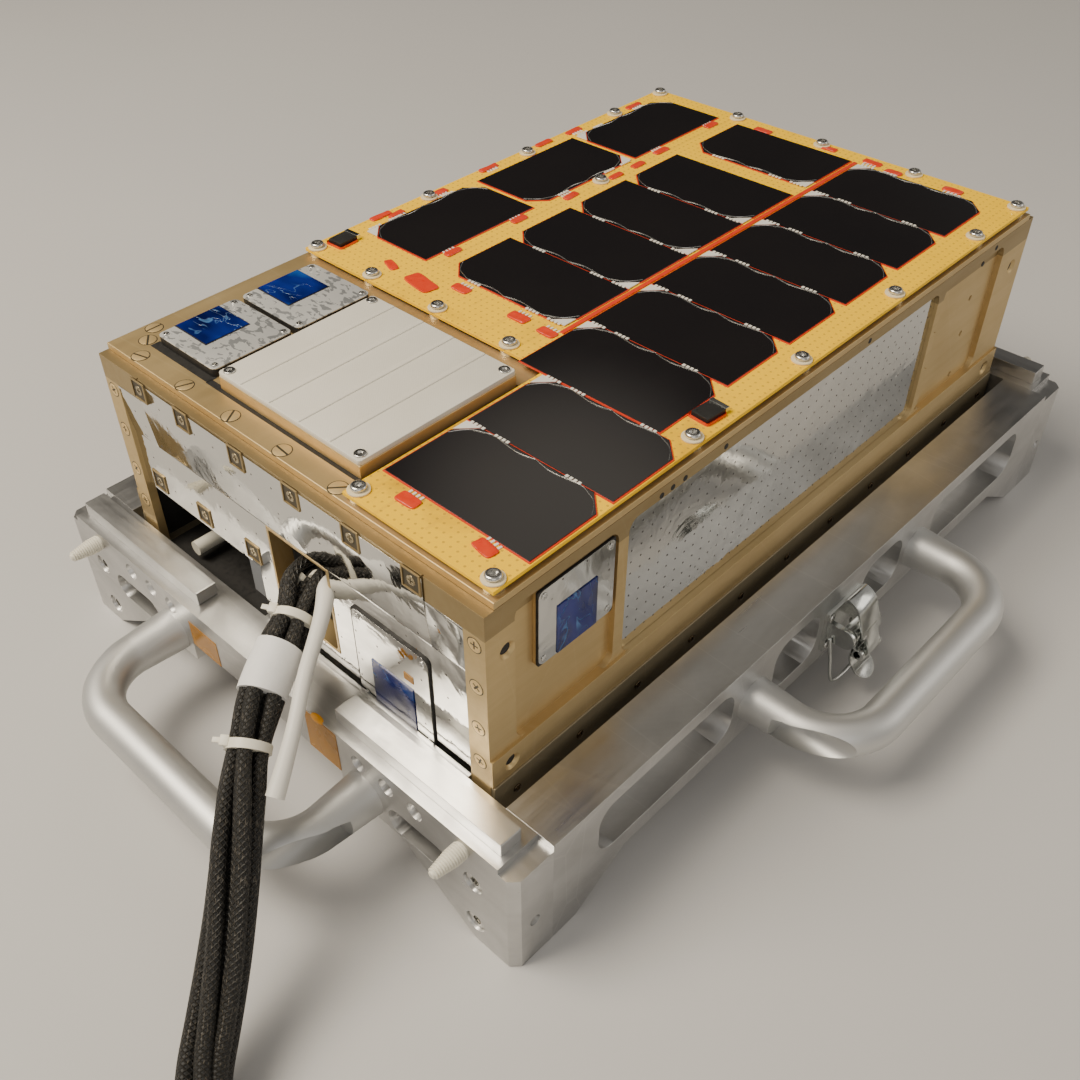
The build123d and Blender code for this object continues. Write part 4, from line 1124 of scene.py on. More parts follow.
class SAT_OT_harness(bpy.types.Operator):
    """Make the braided harness with its label, ties, white tube and plug"""

    bl_idname = "satellite.harness"
    bl_label = "Harness"

    def execute(self, context):
        sizes = context.scene.satellite_harness
        run = Run()
        harness = self.bundle(sizes, run)
        along = [self.ties(sizes, run), self.blank_label(sizes, run), self.white_tube(sizes, run)]
        self.plug(run)
        return {"FINISHED"}

    def bundle(self, sizes, run):
        """Braided sleeves that wind round a middle one and part into two branches."""
        total = run.distances[-1]
        reach = sizes.bundle_radius - sizes.strand_radius
        waist = [width_at(distance) for distance in run.distances[::2]]
        strands = [tube(run.points[::2], sizes.strand_radius, "strand", 3, taper=waist)]
        for count in range(sizes.strands):
            phase = 2 * pi * count / sizes.strands
            points = []
            for index in range(0, len(run.points), 2):
                share = run.distances[index] / total
                angle = phase + 2 * pi * sizes.twist * share + 0.18 * sin(9 * share + 2.3 * count)
                loose = 0.06 * (1 + sin(21 * share + 1.9 * count)) * (1 - abs(2 * share - 1))
                out = reach * width_at(run.distances[index]) * (1.0 - loose)
                side, above = run.axes[index]
                branch = parting(run.distances[index]) * (1 if cos(phase + 0.5) > 0 else -1)
                points.append(run.points[index] + (out * cos(angle) + branch) * side
                              + out * sin(angle) * above)
            widths = [share * (1.0 if count % 2 else 0.93) for share in waist]
            strands.append(tube(points, sizes.strand_radius, "strand", 4, taper=widths))
        harness = smooth(join(strands, "harness_bundle"), 60)
        return dress(harness, "braid", replaced=("harness",))

    def ties(self, sizes, run):
        """Cable ties: two with their heads round the whole harness, one round each branch."""
        bands = []
        for middle, length, share in TIE_BANDS:
            radius = sizes.bundle_radius * share
            bands.append(tube(run.stretch(middle, length), radius + 0.0004, "tie", 6))
            index = run.nearest(middle)
            side, above = run.axes[index]
            head = join([box((-2.0, -1.7, -1.0), (2.0, 1.7, 1.6), 0.4),
                         box((-1.0, 1.2, 0.0), (1.0, 4.6, 0.7), 0.2)], "tie_head")
            outward = (side * 0.80 + above * 0.6).normalized()
            place = run.points[index] + outward * (radius + 0.0006)
            head.data.transform(Matrix.Translation(place) @ run.turned(index))
            bands.append(head)
        for middle, length, radius, way in BRANCH_BANDS:
            index = run.nearest(middle)
            shift = run.axes[index][0] * way * (parting(run.distances[index]) + 0.0015)
            points = [point + shift for point in run.stretch(middle, length)]
            bands.append(tube(points, radius * MM, "branch_tie", 6))
        return dress(smooth(join(bands, "harness_ties"), 40), "nylon")

    def blank_label(self, sizes, run):
        """White sleeve with a flap that stands off it."""
        middle, length, share = LABEL_BAND
        radius = sizes.bundle_radius * share
        wrap = tube(run.stretch(middle, length), radius + 0.0004, "wrap", 8)
        half = length / 2 - 0.3
        flap = box((-half, -0.2, -2.6), (half, 0.2, 2.6), 0.12)
        index = run.nearest(middle)
        side, above = run.axes[index]
        place = run.points[index] + (side * 0.95 - above * 0.25) * radius
        flap.data.transform(Matrix.Translation(place) @ run.turned(index))
        return dress(smooth(join([wrap, flap], "harness_label"), 50), "paper")

    def white_tube(self, sizes, run):
        """Thin tube that lies against the harness."""
        points = []
        for target, out, _ in TUBE_RUN:
            index = run.nearest(target)
            side, above = run.axes[index]
            points.append(run.points[index] + (side * -0.96 + above * 0.28) * out * MM)
        taper = [width for _, _, width in TUBE_RUN]
        sleeve = tube(points, sizes.tube_radius, "white_tube", 5, taper=taper)
        return dress(smooth(sleeve, 60), "white")

    def plug(self, run):
        """Round connector with a back shell, a knurled ring and a pin face."""
        shell = drum(10.4, 0.0, 14.0, 1.6, 32, 3)
        ring = drum(11.4, 13.0, 25.0, 0.8, 40)
        body = drum(9.6, 24.0, 34.0, 0.6, 32)
        body = cut(body, drum(8.4, 31.0, 36.0, 0.2, 32))
        ridge = box((10.6, -0.5, 14.5), (11.45, 0.5, 23.5), 0.2)
        ridges = spread(ridge, [Matrix.Rotation(2 * pi * k / PLUG_RIDGES, 4, "Z")
                                for k in range(PLUG_RIDGES)], "ridges")
        pin = drum(0.6, 30.5, 33.0, 0.2, 10)
        pins = spread(pin, [at(PLUG_PINS_OUT * cos(2 * pi * k / PLUG_PINS),
                               PLUG_PINS_OUT * sin(2 * pi * k / PLUG_PINS), 0)
                            for k in range(PLUG_PINS)], "pins")
        plug = join([shell, ring, body, ridges, pins], "harness_connector")
        ahead = (run.points[-1] - run.points[-2]).normalized()
        side = run.axes[-1][0]
        turn = Matrix((side, ahead.cross(side), ahead)).transposed().to_4x4()
        plug.data.transform(Matrix.Translation(run.points[-1]) @ turn)
        return dress(smooth(plug), "grey", replaced=("harness_plug",))


class SAT_OT_finishes(bpy.types.Operator):
    """Give every CAD node its finish and rounded edges"""

    bl_idname = "satellite.finishes"
    bl_label = "Finishes"

    def execute(self, context):
        for key, names in NODE_FINISHES.items():
            for name in names:
                node = NODES[name]
                node.data.materials.clear()
                node.data.materials.append(finish(key))
        for name, width in EDGE_ROUNDS.items():
            node = NODES[name]
            weld = node.modifiers.new("weld", "WELD")
            weld.merge_threshold = 0.00001
            bevel = node.modifiers.new("round", "BEVEL")
            bevel.width = width * MM
            bevel.segments = 2
            bevel.limit_method = "ANGLE"
            bevel.angle_limit = radians(40)
            bevel.harden_normals = True
        return {"FINISHED"}


def button_screw(radius, height, recess, depth=0.55):
    """A rounded head round the origin with a torx, hex, slot or cross recess, in millimetres."""
    head = drum(radius, 0.0, height, 0.45 * height, 24, 3)
    low, above = (1 - depth) * height, 1.5 * height
    if recess == "torx":
        cutter = prism(0.56 * radius, low, low + height, 12)
        for vertex in cutter.data.vertices:
            index = round((Vector(vertex.co[:2]).angle_signed(Vector((0, 1)))) / (pi / 6))
            if index % 2:
                vertex.co.x *= 0.68
                vertex.co.y *= 0.68
        return smooth(cut(head, cutter))
    if recess == "hex":
        return smooth(cut(head, prism(0.5 * radius, low, low + height, 6)))
    if recess == "slot":
        arms = [(1.2 * radius, 0.13 * radius)]
    else:
        arms = [(0.62 * radius, 0.14 * radius), (0.14 * radius, 0.62 * radius)]
    for slot in [box((-x, -y, low), (x, y, above), 0.02) for x, y in arms]:
        head = cut(head, slot)
    return smooth(head)


class SAT_OT_board_screws(bpy.types.Operator):
    """Make the solar board's screws and washers, and a dark sheet under the board as painted shade
    in the gap beneath it
    """

    bl_idname = "satellite.board_screws"
    bl_label = "Board Screws"

    def execute(self, context):
        sizes = context.scene.satellite_screws
        washer = drum(sizes.washer_radius / MM, 0.0, WASHER_HEIGHT, 0.2, 32)
        places = [at(x, y, BOARD_TOP) for x, y in BOARD_SCREWS]
        dress(smooth(spread(washer, places, "board_screw_washers")), "washer")
        head = button_screw(sizes.head_radius / MM, sizes.head_height / MM, "torx")
        places = [at(x, y, BOARD_TOP + WASHER_HEIGHT, turn=37 * k)
                  for k, (x, y) in enumerate(BOARD_SCREWS)]
        dress(spread(head, places, "board_screws"), "steel")
        # Painted shade: a dark sheet in the gap between the deck and the board
        shade_sheets = [box((-175.8, -108.4, DECK - 0.1), (175.8, -39.0, DECK + 1.5), 0.1),
                  box((-74.5, -39.5, DECK - 0.1), (175.8, 108.4, DECK + 1.5), 0.1)]
        dress(join(shade_sheets, "board_sheet"), "recess")
        return {"FINISHED"}


class SAT_OT_body_screws(bpy.types.Operator):
    """Make the screws of the deck, posts and rails, with painted shade in the grooves round the
    flush ones and on the rail's darker screws, and dark discs as painted shade in the bottoms of
    plain holes
    """

    bl_idname = "satellite.body_screws"
    bl_label = "Body Screws"

    def execute(self, context):
        deck = [at(*place, turn=SCREW_TURN * k) for k, place in enumerate(DECK_SCREWS)]
        self.flush_screws(deck, 3.95, 3.55, "slot", "deck_screws")
        posts = mirrored(POST_SCREWS, "X", SCREW_TURN)
        self.flush_screws(posts, 3.3, 2.9, "cross", "post_screws")
        small = button_screw(1.9, 0.7, "hex", 0.7)
        # Painted shade: the rail's screws take the dark brown steel
        dress(spread(small, mirrored(RAIL_SCREWS, "Y"), "rail_screws"), "rail_screw")
        # Painted shade: dark discs in the bottoms of the side's pin holes and corner holes
        hole = drum(1.25, -0.2, 0.08, 0.03, 16)
        dress(spread(hole, mirrored(SIDE_HOLES, "Y"), "side_pin_holes"), "recess")
        bottom = drum(2.38, 0.0, 0.1, 0.02, 24)
        dress(spread(bottom, mirrored(CORNER_HOLES, "Y"), "corner_hole_bottoms"), "recess")
        return {"FINISHED"}

    def flush_screws(self, places, groove_radius, radius, recess, name):
        """Flush screws, each with a dark ring of painted shade in the groove round it."""
        groove = drum(groove_radius, -0.2, 0.05, 0.02, 32)
        dress(spread(groove, places, name + "_grooves"), "clip_well")
        head = button_screw(radius, 0.16, recess, 1.2)
        dress(spread(head, places, name), "pale_chromate")


def rounded_plate(low, high, radius, bevel=0.1):
    """A flat plate between two corners with its upright corners rounded, in millimetres."""
    piece = block(low, high)
    sizes = [b - a for a, b in zip(low, high)]
    thin = sizes.index(min(sizes))
    select_nothing(piece)
    for edge in piece.data.edges:
        first, second = [piece.data.vertices[index].co for index in edge.vertices]
        edge.select = abs((first - second)[thin]) > 0.5 * min(sizes) * MM
    bpy.ops.object.mode_set(mode="EDIT")
    bpy.ops.mesh.select_mode(type="EDGE")
    bpy.ops.mesh.bevel(offset=radius * MM, segments=5)
    bpy.ops.object.mode_set(mode="OBJECT")
    return rounded(piece, bevel * MM, 2, 50)


def cropped_plate(width, length, crop, thickness):
    """A plate round the origin with its two corners towards +X cut off, in millimetres."""
    start()
    bpy.ops.mesh.primitive_plane_add(size=1.0)
    piece = bpy.context.active_object
    piece.scale = (width * MM, length * MM, 1.0)
    settle(piece, "plate")
    select_nothing(piece)
    for vertex in piece.data.vertices:
        vertex.select = vertex.co.x > 0
    bpy.ops.object.mode_set(mode="EDIT")
    bpy.ops.mesh.select_mode(type="VERT")
    bpy.ops.mesh.bevel(offset=crop * MM, affect="VERTICES")
    bpy.ops.mesh.select_all(action="SELECT")
    bpy.ops.mesh.extrude_region_move(TRANSFORM_OT_translate={"value": (0, 0, thickness * MM)})
    bpy.ops.mesh.select_all(action="SELECT")
    bpy.ops.mesh.normals_make_consistent(inside=False)
    bpy.ops.object.mode_set(mode="OBJECT")
    return piece


class SAT_OT_cells(bpy.types.Operator):
    """Make the cells' red borders, wires, tabs and diodes"""

    bl_idname = "satellite.cells"
    bl_label = "Cell Details"

    def execute(self, context):
        sizes = context.scene.satellite_cells
        margin = sizes.margin / MM
        wide, long = CELL_SIZE[0] / 2, CELL_SIZE[1] / 2
        places = [at(x, y, 0, turn=turn) for x, y, turn in CELL_PLACES]

        border = cropped_plate(2 * (wide + margin), 2 * (long + margin), CELL_CROP + 0.5, 0.36)
        border.data.transform(Matrix.Translation((0, 0, BOARD_TOP * MM)))
        borders = spread(border, places, "cell_borders")
        seam = box((-52.0, -25.4, BOARD_TOP), (166.0, -23.2, BOARD_TOP + 0.55), 0.25)
        dress(join([borders, seam], "cell_borders"), "rubber")

        top = (CELL_TOP + 0.1) * MM
        shape = [(wide - 9.6, long - 0.4), (wide - 6.4, long - 2.2), (wide - 3.0, long - 5.2),
                 (wide - 1.4, long - 9.4), (wide + 0.2, long - 13.0), (wide - 0.9, long - 20.0),
                 (wide - 1.8, 8.0), (wide - 0.7, 2.0), (wide + 0.1, 0.0)]
        points = [Vector((x * MM, y * MM, top)) for x, y in shape]
        points += [Vector((x * MM, -y * MM, top)) for x, y in reversed(shape[:-1])]
        wire = tube(points, sizes.wire_radius, "wire", 2)
        pitch = sizes.tab_pitch / MM
        middles = [y + (count - 1.5) * pitch for y in (-17.0, 17.0) for count in range(4)]
        middles += [long - 2.4 - count * pitch for count in range(4)]
        tabs = [box((wide - 0.2, middle - 0.62, CELL_TOP - 0.2),
                    (wide + 1.1, middle + 0.62, CELL_TOP + 0.25), 0.06) for middle in middles]
        dress(smooth(spread(wire, places, "cell_wires")), "steel")
        dress(spread(join(tabs, "tabs"), places, "cell_tabs"), "white")

        diode = corner_triangle(CELL_CROP - 0.7, 0.45)
        diode.data.transform(at(wide, long, BOARD_TOP + 0.3))
        dress(spread(diode, places, "cell_diodes"), "diode")

        row = cropped_plate(CELL_SIZE[0], CELL_SIZE[1], CELL_CROP, CELL_TOP - BOARD_TOP)
        row.data.transform(Matrix.Translation((0, 0, BOARD_TOP * MM)))
        dress(spread(row, places[-3:], "edge_cells"), "cell", replaced=("cells_edge_row",))
        return {"FINISHED"}


class SAT_OT_stakes(bpy.types.Operator):
    """Make the silicone stakes on the board"""

    bl_idname = "satellite.stakes"
    bl_label = "Stakes"

    def execute(self, context):
        height = context.scene.satellite_cells.stake_height / MM
        stakes = []
        dash_places = []
        for count, (x, y, length, width, turn, side) in enumerate(STAKES):
            half = (length / 2, width / 2, height / 2)
            stake = block([-value for value in half], half)
            edit_whole(stake)
            bpy.ops.mesh.subdivide(number_cuts=2)
            bpy.ops.mesh.select_all(action="SELECT")
            bpy.ops.transform.vertex_random(offset=0.00052, seed=count + 1)
            bpy.ops.object.mode_set(mode="OBJECT")
            modify(stake, "SUBSURF", levels=2, render_levels=2)
            stake.data.transform(at(x, y, BOARD_TOP + 0.28 * height, turn=turn))
            stakes.append(stake)
            if side:
                offset = Matrix.Translation((0, side * (width / 2 + 0.9) * MM, 0))
                dash_places.append(at(x, y, BOARD_TOP, turn=turn) @ offset)
        dress(smooth(join(stakes, "board_stakes"), 60), "rubber")
        pitch = context.scene.satellite_cells.tab_pitch / MM
        bars = []
        for count in range(DASHES):
            middle = (count - (DASHES - 1) / 2) * pitch
            bars.append(box((middle - 0.45, -1.0, 0.0), (middle + 0.45, 1.0, 0.45), 0.08))
        dress(spread(join(bars, "dashes"), dash_places, "board_tabs"), "white")
        return {"FINISHED"}


class SAT_OT_chips(bpy.types.Operator):
    """Make the two circuit packages with their leads"""

    bl_idname = "satellite.chips"
    bl_label = "Circuit Packages"

    def execute(self, context):
        length, width, height = CHIP_SIZE
        half_x, half_y = length / 2, width / 2
        body = box((-half_x, -half_y, 0.3), (half_x, half_y, height), 0.3)
        notch = drum(0.7, height - 0.15, height + 1.0, 0.05, 16)
        notch.data.transform(at(-half_x + 1.8, half_y - 1.8, 0))
        cut(body, notch)
        places = [at(x, y, BOARD_TOP, turn=turn) for x, y, turn in CHIPS]
        bodies = spread(body, places, "chip_bodies")
        dress(smooth(bodies), "epoxy", replaced=("board_chips",))
        leads = []
        for count in range(CHIP_LEADS):
            y = (count - (CHIP_LEADS - 1) / 2) * CHIP_PITCH
            leads.append(box((half_x - 0.3, y - 0.42, 0.05), (half_x + 1.5, y + 0.42, 0.45), 0.1))
        leads.append(box((half_x - 1.6, -half_y - 0.15, 0.4),
                         (half_x + 0.5, half_y + 0.15, height + 0.2), 0.15))
        dress(spread(join(leads, "leads"), places, "chip_leads"), "zinc")
        pad = rounded_plate((-half_x - 1.1, -half_y - 1.1, 0.0),
                            (half_x - 1.5, half_y + 1.0, 0.4), 1.2)
        dress(spread(pad, places, "chip_pads"), "rubber")
        return {"FINISHED"}


class SAT_OT_top_sensors(bpy.types.Operator):
    """Make the antenna's ridged cover, the sensor heads and dark strips as painted shade in the
    gaps in the deck round them
    """

    bl_idname = "satellite.top_sensors"
    bl_label = "Antenna And Heads"

    def execute(self, context):
        self.antenna()
        rims, bodies, covers = [], [], []
        low, high = HEADS_Y - HEAD_HALF, HEADS_Y + HEAD_HALF
        for x in HEADS_X:
            left, right = x - HEAD_HALF, x + HEAD_HALF
            bodies.append(rounded_plate((left, low, DECK), (right, high, HEAD_SEAM), 2.6, 0.2))
            covers.append(rounded_plate((left, low, HEAD_SEAM), (right, high, HEAD_TOP), 2.6, 0.15))
            rims.append(box((x - 11.0, 73.1, HEAD_TOP - 0.1),
                            (x + 11.0, 95.1, HEAD_TOP + 0.12), 0.05))
        # Painted shade: dark strips in the deck's gaps
        shade_gaps = [box((x_low, y_low, DECK - 0.1), (x_high, y_high, DECK + 0.15), 0.05)
                for x_low, y_low, x_high, y_high in DECK_SHADE_GAPS]
        dress(join(shade_gaps, "deck_gaps"), "recess")
        dress(smooth(join(bodies, "head_bodies")), "recess")
        dress(smooth(join(covers, "head_covers")), "head", replaced=("sensor_heads",))
        dress(join(rims, "film_frames"), "recess")
        small = button_screw(1.3, 0.6, "cross", 0.7)
        inset = HEAD_HALF - 2.7
        places = [at(x + a * inset, HEADS_Y + b * inset, HEAD_TOP - 0.1, turn=20 * a + 45)
                  for x in HEADS_X for a in (-1, 1) for b in (-1, 1)]
        dress(spread(small, places, "head_screws"), "steel")
        return {"FINISHED"}

    def antenna(self):
        """Cover with four rounded ridges and a screw in each corner."""
        low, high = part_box("antenna_plate")
        x_low, y_low, bottom = [value / MM for value in low]
        x_high, y_high, top = [value / MM for value in high]
        cover = [rounded_plate((x_low, y_low, bottom), (x_high, y_high, top - 0.4), 1.6, 0.3)]
        middle = (y_low + y_high) / 2 + 2.2
        for count in range(ANTENNA_RIDGES):
            y = middle + (count - (ANTENNA_RIDGES - 1) / 2) * ANTENNA_PITCH
            cover.append(box((x_low + 0.3, y - 1.3, top - 0.9), (x_high - 0.3, y + 1.3, top + 0.1),
                             0.48, 4))
        dress(smooth(join(cover, "antenna_cover")), "laminate", replaced=("antenna_plate",))
        head = button_screw(2.4, 0.7, "hex", 0.7)
        inset = 3.3
        corners = [(x, y) for x in (x_low + inset, x_high - inset)
                   for y in (y_low + inset, y_high - inset)]
        places = [at(x, y, top - 0.45, turn=30 * k) for k, (x, y) in enumerate(corners)]
        dress(spread(head, places, "antenna_screws"), "steel")


class SAT_OT_ends(bpy.types.Operator):
    """Make the end faces' films, clips and tapes and dark outlines as painted shade round the
    sensor plates
    """

    bl_idname = "satellite.ends"
    bl_label = "End Faces"

    def execute(self, context):
        self.skirts()
        self.clips()
        self.shade_outlines()
        self.bay()
        self.plate_block()
        self.window()
        self.plate_screws()
        self.tapes()
        return {"FINISHED"}

    def shade_outlines(self):
        """Painted shade: dark outlines round both sensor plates, for the shaded gap round each."""
        near = -SIDE_Y
        shade_outlines = [
            rounded_plate((PANEL_X - 0.77, -80.6, 53.4), (PANEL_X + 0.2, -38.4, 102.6), 2.5, 0.05),
            rounded_plate((-158.65, near - 0.02, 104.25), (-119.55, near + 1.0, 139.35), 1.0, 0.05),
        ]
        dress(join(shade_outlines, "plate_outlines"), "recess")

    def bay(self):
        """Painted shade: dark floor and side wall of the open bay, up to the equipment behind it.
        """
        low, high = [[side / MM for side in corner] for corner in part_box("equipment_block")]
        floor = box((-180.4, 21.9, low[2]), (low[0] - 0.2, 100.6, low[2] + 0.4), 0.1)
        wall = box((-177.5, high[1] + 2.6, low[2]),
                   (low[0] - 0.2, high[1] + 2.95, high[2] - 2.0), 0.1)
        dress(join([floor, wall], "bay_lining"), "recess")

    def plate_block(self):
        """Block that carries the side's sensor plate."""
        carrier = rounded_plate((-158.6, 0.9 - SIDE_Y, 104.3),
                                (-119.6, 2.5 - SIDE_Y, 139.3), 1.0, 0.05)
        dress(settle(carrier, "plate_block"), "gold_chromate")

    def window(self):
        """Lining of the harness window's four edges."""
        (left, right), (low, high), wall = WINDOW_Y, WINDOW_Z, WINDOW_WALL
        edges = [
            ((left, low), (left + wall, high)),
            ((right - wall, low), (right, high)),
            ((left + 0.7, high - wall), (right - 0.7, high)),
            ((left + 0.7, low), (right - 0.7, low + wall)),
        ]
        lining = [box((PANEL_X - 0.25, *first), (PANEL_X + 9.0, *last), 0.15)
                  for first, last in edges]
        dress(join(lining, "window_lining"), "gold_chromate")

    def plate_screws(self):
        """Cross screws in the corners of both sensor plates."""
        small = button_screw(1.4, 0.4, "cross", 0.8)
        corners = [(a, b) for a in (-1, 1) for b in (-1, 1)]
        (y, reach), (z, rise) = END_PLATE
        places = [at(PANEL_X - 0.8, y + a * reach, z + b * rise, "-X", 45) for a, b in corners]
        (x, reach), (z, rise) = SIDE_PLATE
        places += [at(x + a * reach, -SIDE_Y - 0.2, z + b * rise, "-Y", 45) for a, b in corners]
        dress(spread(small, places, "plate_screws"), "steel")

    def tapes(self):
        """Amber tapes on the end's sensor plate and in the bar's pockets, with a drop of glue."""
        bar = -BAR_X - 0.2
        tapes = [
            box((PANEL_X - 1.05, -71.5, 84.0), (PANEL_X - 0.8, -66.5, 87.5), 0.08),
            box((bar, 29.0, 36.6), (-BAR_X + 0.05, 49.0, 50.0), 0.08),
            box((bar, -50.0, 36.6), (-BAR_X + 0.05, -31.0, BAR_TOP - 1.0), 0.08),
            box((bar, 29.0, 36.2), (-BAR_X + 19.0, 49.0, 36.5), 0.08),
            box((bar, -50.0, 36.2), (-BAR_X + 19.0, -31.0, 36.5), 0.08),
        ]
        dress(join(tapes, "amber_tapes"), "tape")
        start()
        bpy.ops.mesh.primitive_uv_sphere_add(segments=16, ring_count=10, radius=2.4 * MM)
        drop = bpy.context.active_object
        drop.scale = (0.55, 1.5, 0.6)
        settle(drop, "glue_drop")
        drop.data.transform(at(-BAR_X + 0.3, -39.0, BAR_TOP - 0.6))
        modify(drop, "DISPLACE", texture=None, strength=0.0002, mid_level=0.0)
        dress(smooth(drop, 60), "glue")

    def skirts(self):
        """Film that covers the frame's end faces, between its corner blocks."""
        skirts = []
        for turn in (-pi / 2, pi / 2):
            sheet = strip([(END_X - 0.35, 144.8), (END_X - 0.35, 138.0), (END_X - 0.2, 132.0),
                           (END_X + 0.3, 126.0), (END_X + 1.0, 119.5), (END_X + 1.5, 114.5),
                           (PANEL_X - 0.2, 111.8)], 166.0, FILM, "skirt")
            turn = Matrix.Rotation(turn, 4, "Z")
            sheet.data.transform(turn)
            skirts.append(sheet)
            for side in (-92.0, 92.0):
                flap = strip([(END_X + 0.05, 134.9), (END_X + 0.15, 130.0), (END_X + 0.4, 126.0),
                              (END_X + 1.05, 119.5), (END_X + 1.55, 114.5),
                              (PANEL_X - 0.15, 111.8)], 18.2, FILM, "flap")
                flap.data.transform(turn @ Matrix.Translation((side * MM, 0, 0)))
                skirts.append(flap)
        dress(join(skirts, "film_skirts"), "end_film")

    def clips(self):
        """Small flush clips: a thin rim, a well darkened as painted shade, and a cross screw."""
        rim = cut(box((-4.7, -4.7, -0.1), (4.7, 4.7, 0.45), 0.12),
                  box((-4.0, -3.9, -0.5), (4.0, 3.9, 1.0), 0.05))
        cross = button_screw(2.1, 0.3, "cross", 0.9)
        well = box((-4.3, -4.2, -0.1), (4.3, 4.2, 0.08), 0.03)
        places = mirrored([(x - (0.5 if x == END_X else 0.05), y, z) for x, z, y in CLIPS], "X")
        # Painted shade: the clip rims take the frame's darker copy of the chromate
        dress(smooth(spread(rim, places, "clip_rims")), "frame_chromate", replaced=("end_tabs",))
        dress(smooth(spread(cross, places, "clip_screws")), "clip_screw")
        dress(spread(well, places, "clip_wells"), "clip_well")


class SAT_OT_cradle(bpy.types.Operator):
    """Make the jacking screws' threads, the end bars' lips and the latches' rivets"""

    bl_idname = "satellite.cradle"
    bl_label = "Cradle Details"

    def execute(self, context):
        side, height = JACK_PLACE
        places = mirrored([(-BAR_X, way * side, height) for way in (-1, 1)], "X")
        dress(smooth(spread(self.jack(), places, "jack_threads")), "nylon",
              replaced=("nylon_screws",))
        lips = [box((-BAR_INNER, -100.5, 56.0), (END_X + 0.95, 20.0, 58.3), 0.2),
                box((-END_X - 0.95, -100.5, 56.0), (BAR_INNER, 100.5, 58.3), 0.2)]
        dress(smooth(join(lips, "bar_lips")), "cradle_y")
        rivet = button_screw(2.1, 0.9, "cross", 0.6)
        rivets = [(x, -145.0, z) for x in (-10.8, 10.8) for z in (27.5, 43.5)]
        dress(spread(rivet, mirrored(rivets, "Y"), "latch_rivets"), "steel")
        return {"FINISHED"}

    def jack(self):
        """End of a jacking screw: rings for its thread, narrower towards a blunt tip."""
        rings = []
        for count in range(JACK_THREADS):
            reach = 0.6 + JACK_PITCH * count
            wide = JACK_RADIUS - 0.17 * max(0, count - 4)
            rings.append(drum(wide, reach, reach + 0.75, 0.3, 20))
            rings.append(drum(wide - 0.5, reach - 0.6, reach + 0.85, 0.05, 20))
        return join([*rings, drum(1.5, reach, reach + 1.6, 0.3, 20)], "screw")


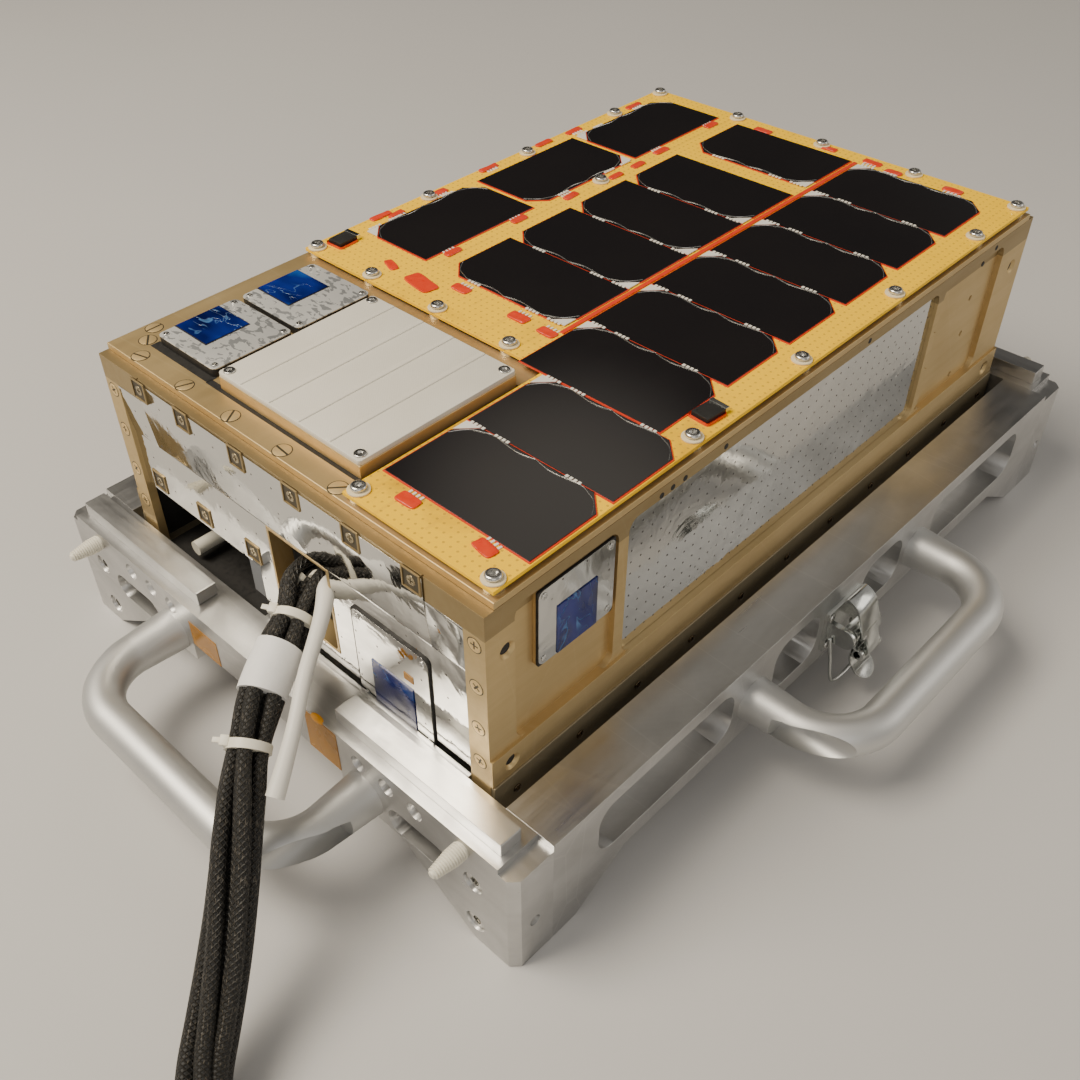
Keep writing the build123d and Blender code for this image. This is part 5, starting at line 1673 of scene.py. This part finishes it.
class SAT_OT_latches(bpy.types.Operator):
    """Make the draw latches' levers, claws and springs of bent sheet and wire"""

    bl_idname = "satellite.latches"
    bl_label = "Latches"

    def execute(self, context):
        shape = [(-12.2, -147.0, 33.0), (-12.6, -149.0, 24.0), (-11.5, -150.5, 10.0),
                 (-8.0, -151.0, 5.5), (4.0, -151.5, 5.0), (10.5, -150.5, 7.0),
                 (12.4, -149.0, 24.0), (12.2, -147.0, 33.0)]
        turns = {"near": Matrix.Identity(4), "far": Matrix.Rotation(pi, 4, "Z")}
        for name, turn in turns.items():
            for part, make in (("lever", self.lever), ("claw", self.claw)):
                sheet = make(name)
                sheet.data.transform(turn)
                dress(sheet, "zinc", body=f"{part}_{name}", replaced=(f"latch_{part}_{name}",))
        springs = []
        for turn in turns.values():
            springs.append(tube([Vector(place) * MM for place in shape], 0.0008, "spring", 3))
            springs[-1].data.transform(turn)
        dress(smooth(join(springs, "latch_springs"), 60), "zinc")
        return {"FINISHED"}

    def lever(self, name):
        """Channel on the pin with two lugs, a hanging strap and a round thumb tab."""
        strap = strip([(-150.5, 38.6), (-153.0, 39.6), (-156.2, 38.2), (-156.6, 34.0),
                       (-155.6, 27.0), (-155.4, 22.5), (-157.0, 19.5)], 15.0, LATCH_SHEET, "strap")
        thumb = drum(6.6, -0.65, 0.65, 0.3, 40)
        edit_whole(thumb)
        bpy.ops.mesh.bisect(plane_co=(0, 0.0042, 0), plane_no=(0, 1, 0),
                            clear_outer=True, use_fill=True)
        bpy.ops.object.mode_set(mode="OBJECT")
        crease = box((-6.2, -0.35, 0.4), (6.2, 0.35, 0.95), 0.2)
        thumb = join([thumb, crease], "thumb")
        thumb.data.transform(at(0, -158.6, 16.6) @ Matrix.Rotation(radians(42), 4, "X"))
        hub = drum(3.2, -7.4, 7.4, 0.3, 28)
        hub = cut(hub, drum(1.85, -9.0, 9.0, 0.05, 24))
        hub.data.transform(at(0, *LEVER_PIN, "+X"))
        parts = [strap, thumb, hub]
        for end in (-1, 1):
            low, high = sorted((end * 5.7, end * 7.5))
            lug = box((low, -159.0, 24.9), (high, -155.2, 30.1), 0.3)
            eye = drum(2.6, low, high, 0.3, 24)
            eye.data.transform(at(0, *CLAW_PIN, "+X"))
            parts += [lug, eye]
        pin = drum(1.2, -7.5, 7.5, 0.2, 16)
        pin.data.transform(at(0, *CLAW_PIN, "+X"))
        return smooth(join([*parts, pin], f"lever_{name}_sheet"))

    def claw(self, name):
        """Plate on the lever's lower pin that rises to a hooked tab."""
        lower = strip([(-159.6, 25.0), (-161.4, 26.4), (-161.2, 31.0), (-159.4, 36.0),
                       (-157.8, 40.5)], 9.0, LATCH_SHEET, "lower")
        upper = strip([(-159.0, 37.0), (-157.2, 42.0), (-155.6, 46.5), (-154.2, 50.4),
                       (-150.6, 53.0), (-147.8, 53.6), (-147.2, 51.0)], 14.0, LATCH_SHEET, "upper")
        hub = drum(2.4, -4.5, 4.5, 0.3, 24)
        hub = cut(hub, drum(1.25, -6.0, 6.0, 0.05, 20))
        hub.data.transform(at(0, *CLAW_PIN, "+X"))
        return smooth(join([lower, upper, hub], f"claw_{name}_sheet"))


class SAT_PT_panel(bpy.types.Panel):
    """Sizes and steps of the satellite"""

    bl_idname = "SAT_PT_panel"
    bl_label = "Satellite"
    bl_space_type = "VIEW_3D"
    bl_region_type = "UI"
    bl_category = "Satellite"

    def draw(self, context):
        for group in GROUPS:
            sizes = getattr(context.scene, group)
            box_layout = self.layout.box()
            for key in sizes.__annotations__:
                box_layout.prop(sizes, key)
        for operator in OPERATORS:
            self.layout.operator(operator.bl_idname)


GROUPS = {
    "satellite_stage": SAT_PG_stage,
    "satellite_screws": SAT_PG_screws,
    "satellite_cells": SAT_PG_cells,
    "satellite_harness": SAT_PG_harness,
}
OPERATORS = [
    SAT_OT_stage, SAT_OT_harness, SAT_OT_finishes, SAT_OT_board_screws, SAT_OT_body_screws,
    SAT_OT_cells, SAT_OT_stakes, SAT_OT_chips, SAT_OT_top_sensors, SAT_OT_ends, SAT_OT_cradle,
    SAT_OT_latches,
]


def register():
    for group in GROUPS.values():
        bpy.utils.register_class(group)
    for name, group in GROUPS.items():
        setattr(bpy.types.Scene, name, PointerProperty(type=group))
    for operator in OPERATORS:
        bpy.utils.register_class(operator)
    bpy.utils.register_class(SAT_PT_panel)


def unregister():
    bpy.utils.unregister_class(SAT_PT_panel)
    for operator in reversed(OPERATORS):
        bpy.utils.unregister_class(operator)
    for name in GROUPS:
        delattr(bpy.types.Scene, name)
    for group in GROUPS.values():
        bpy.utils.unregister_class(group)


def main():
    """Builds the whole scene."""
    register()
    bpy.ops.satellite.stage()
    bpy.ops.satellite.harness()
    bpy.ops.satellite.finishes()
    bpy.ops.satellite.board_screws()
    bpy.ops.satellite.body_screws()
    bpy.ops.satellite.cells()
    bpy.ops.satellite.stakes()
    bpy.ops.satellite.chips()
    bpy.ops.satellite.top_sensors()
    bpy.ops.satellite.ends()
    bpy.ops.satellite.cradle()
    bpy.ops.satellite.latches()


if __name__ == "__main__":
    main()
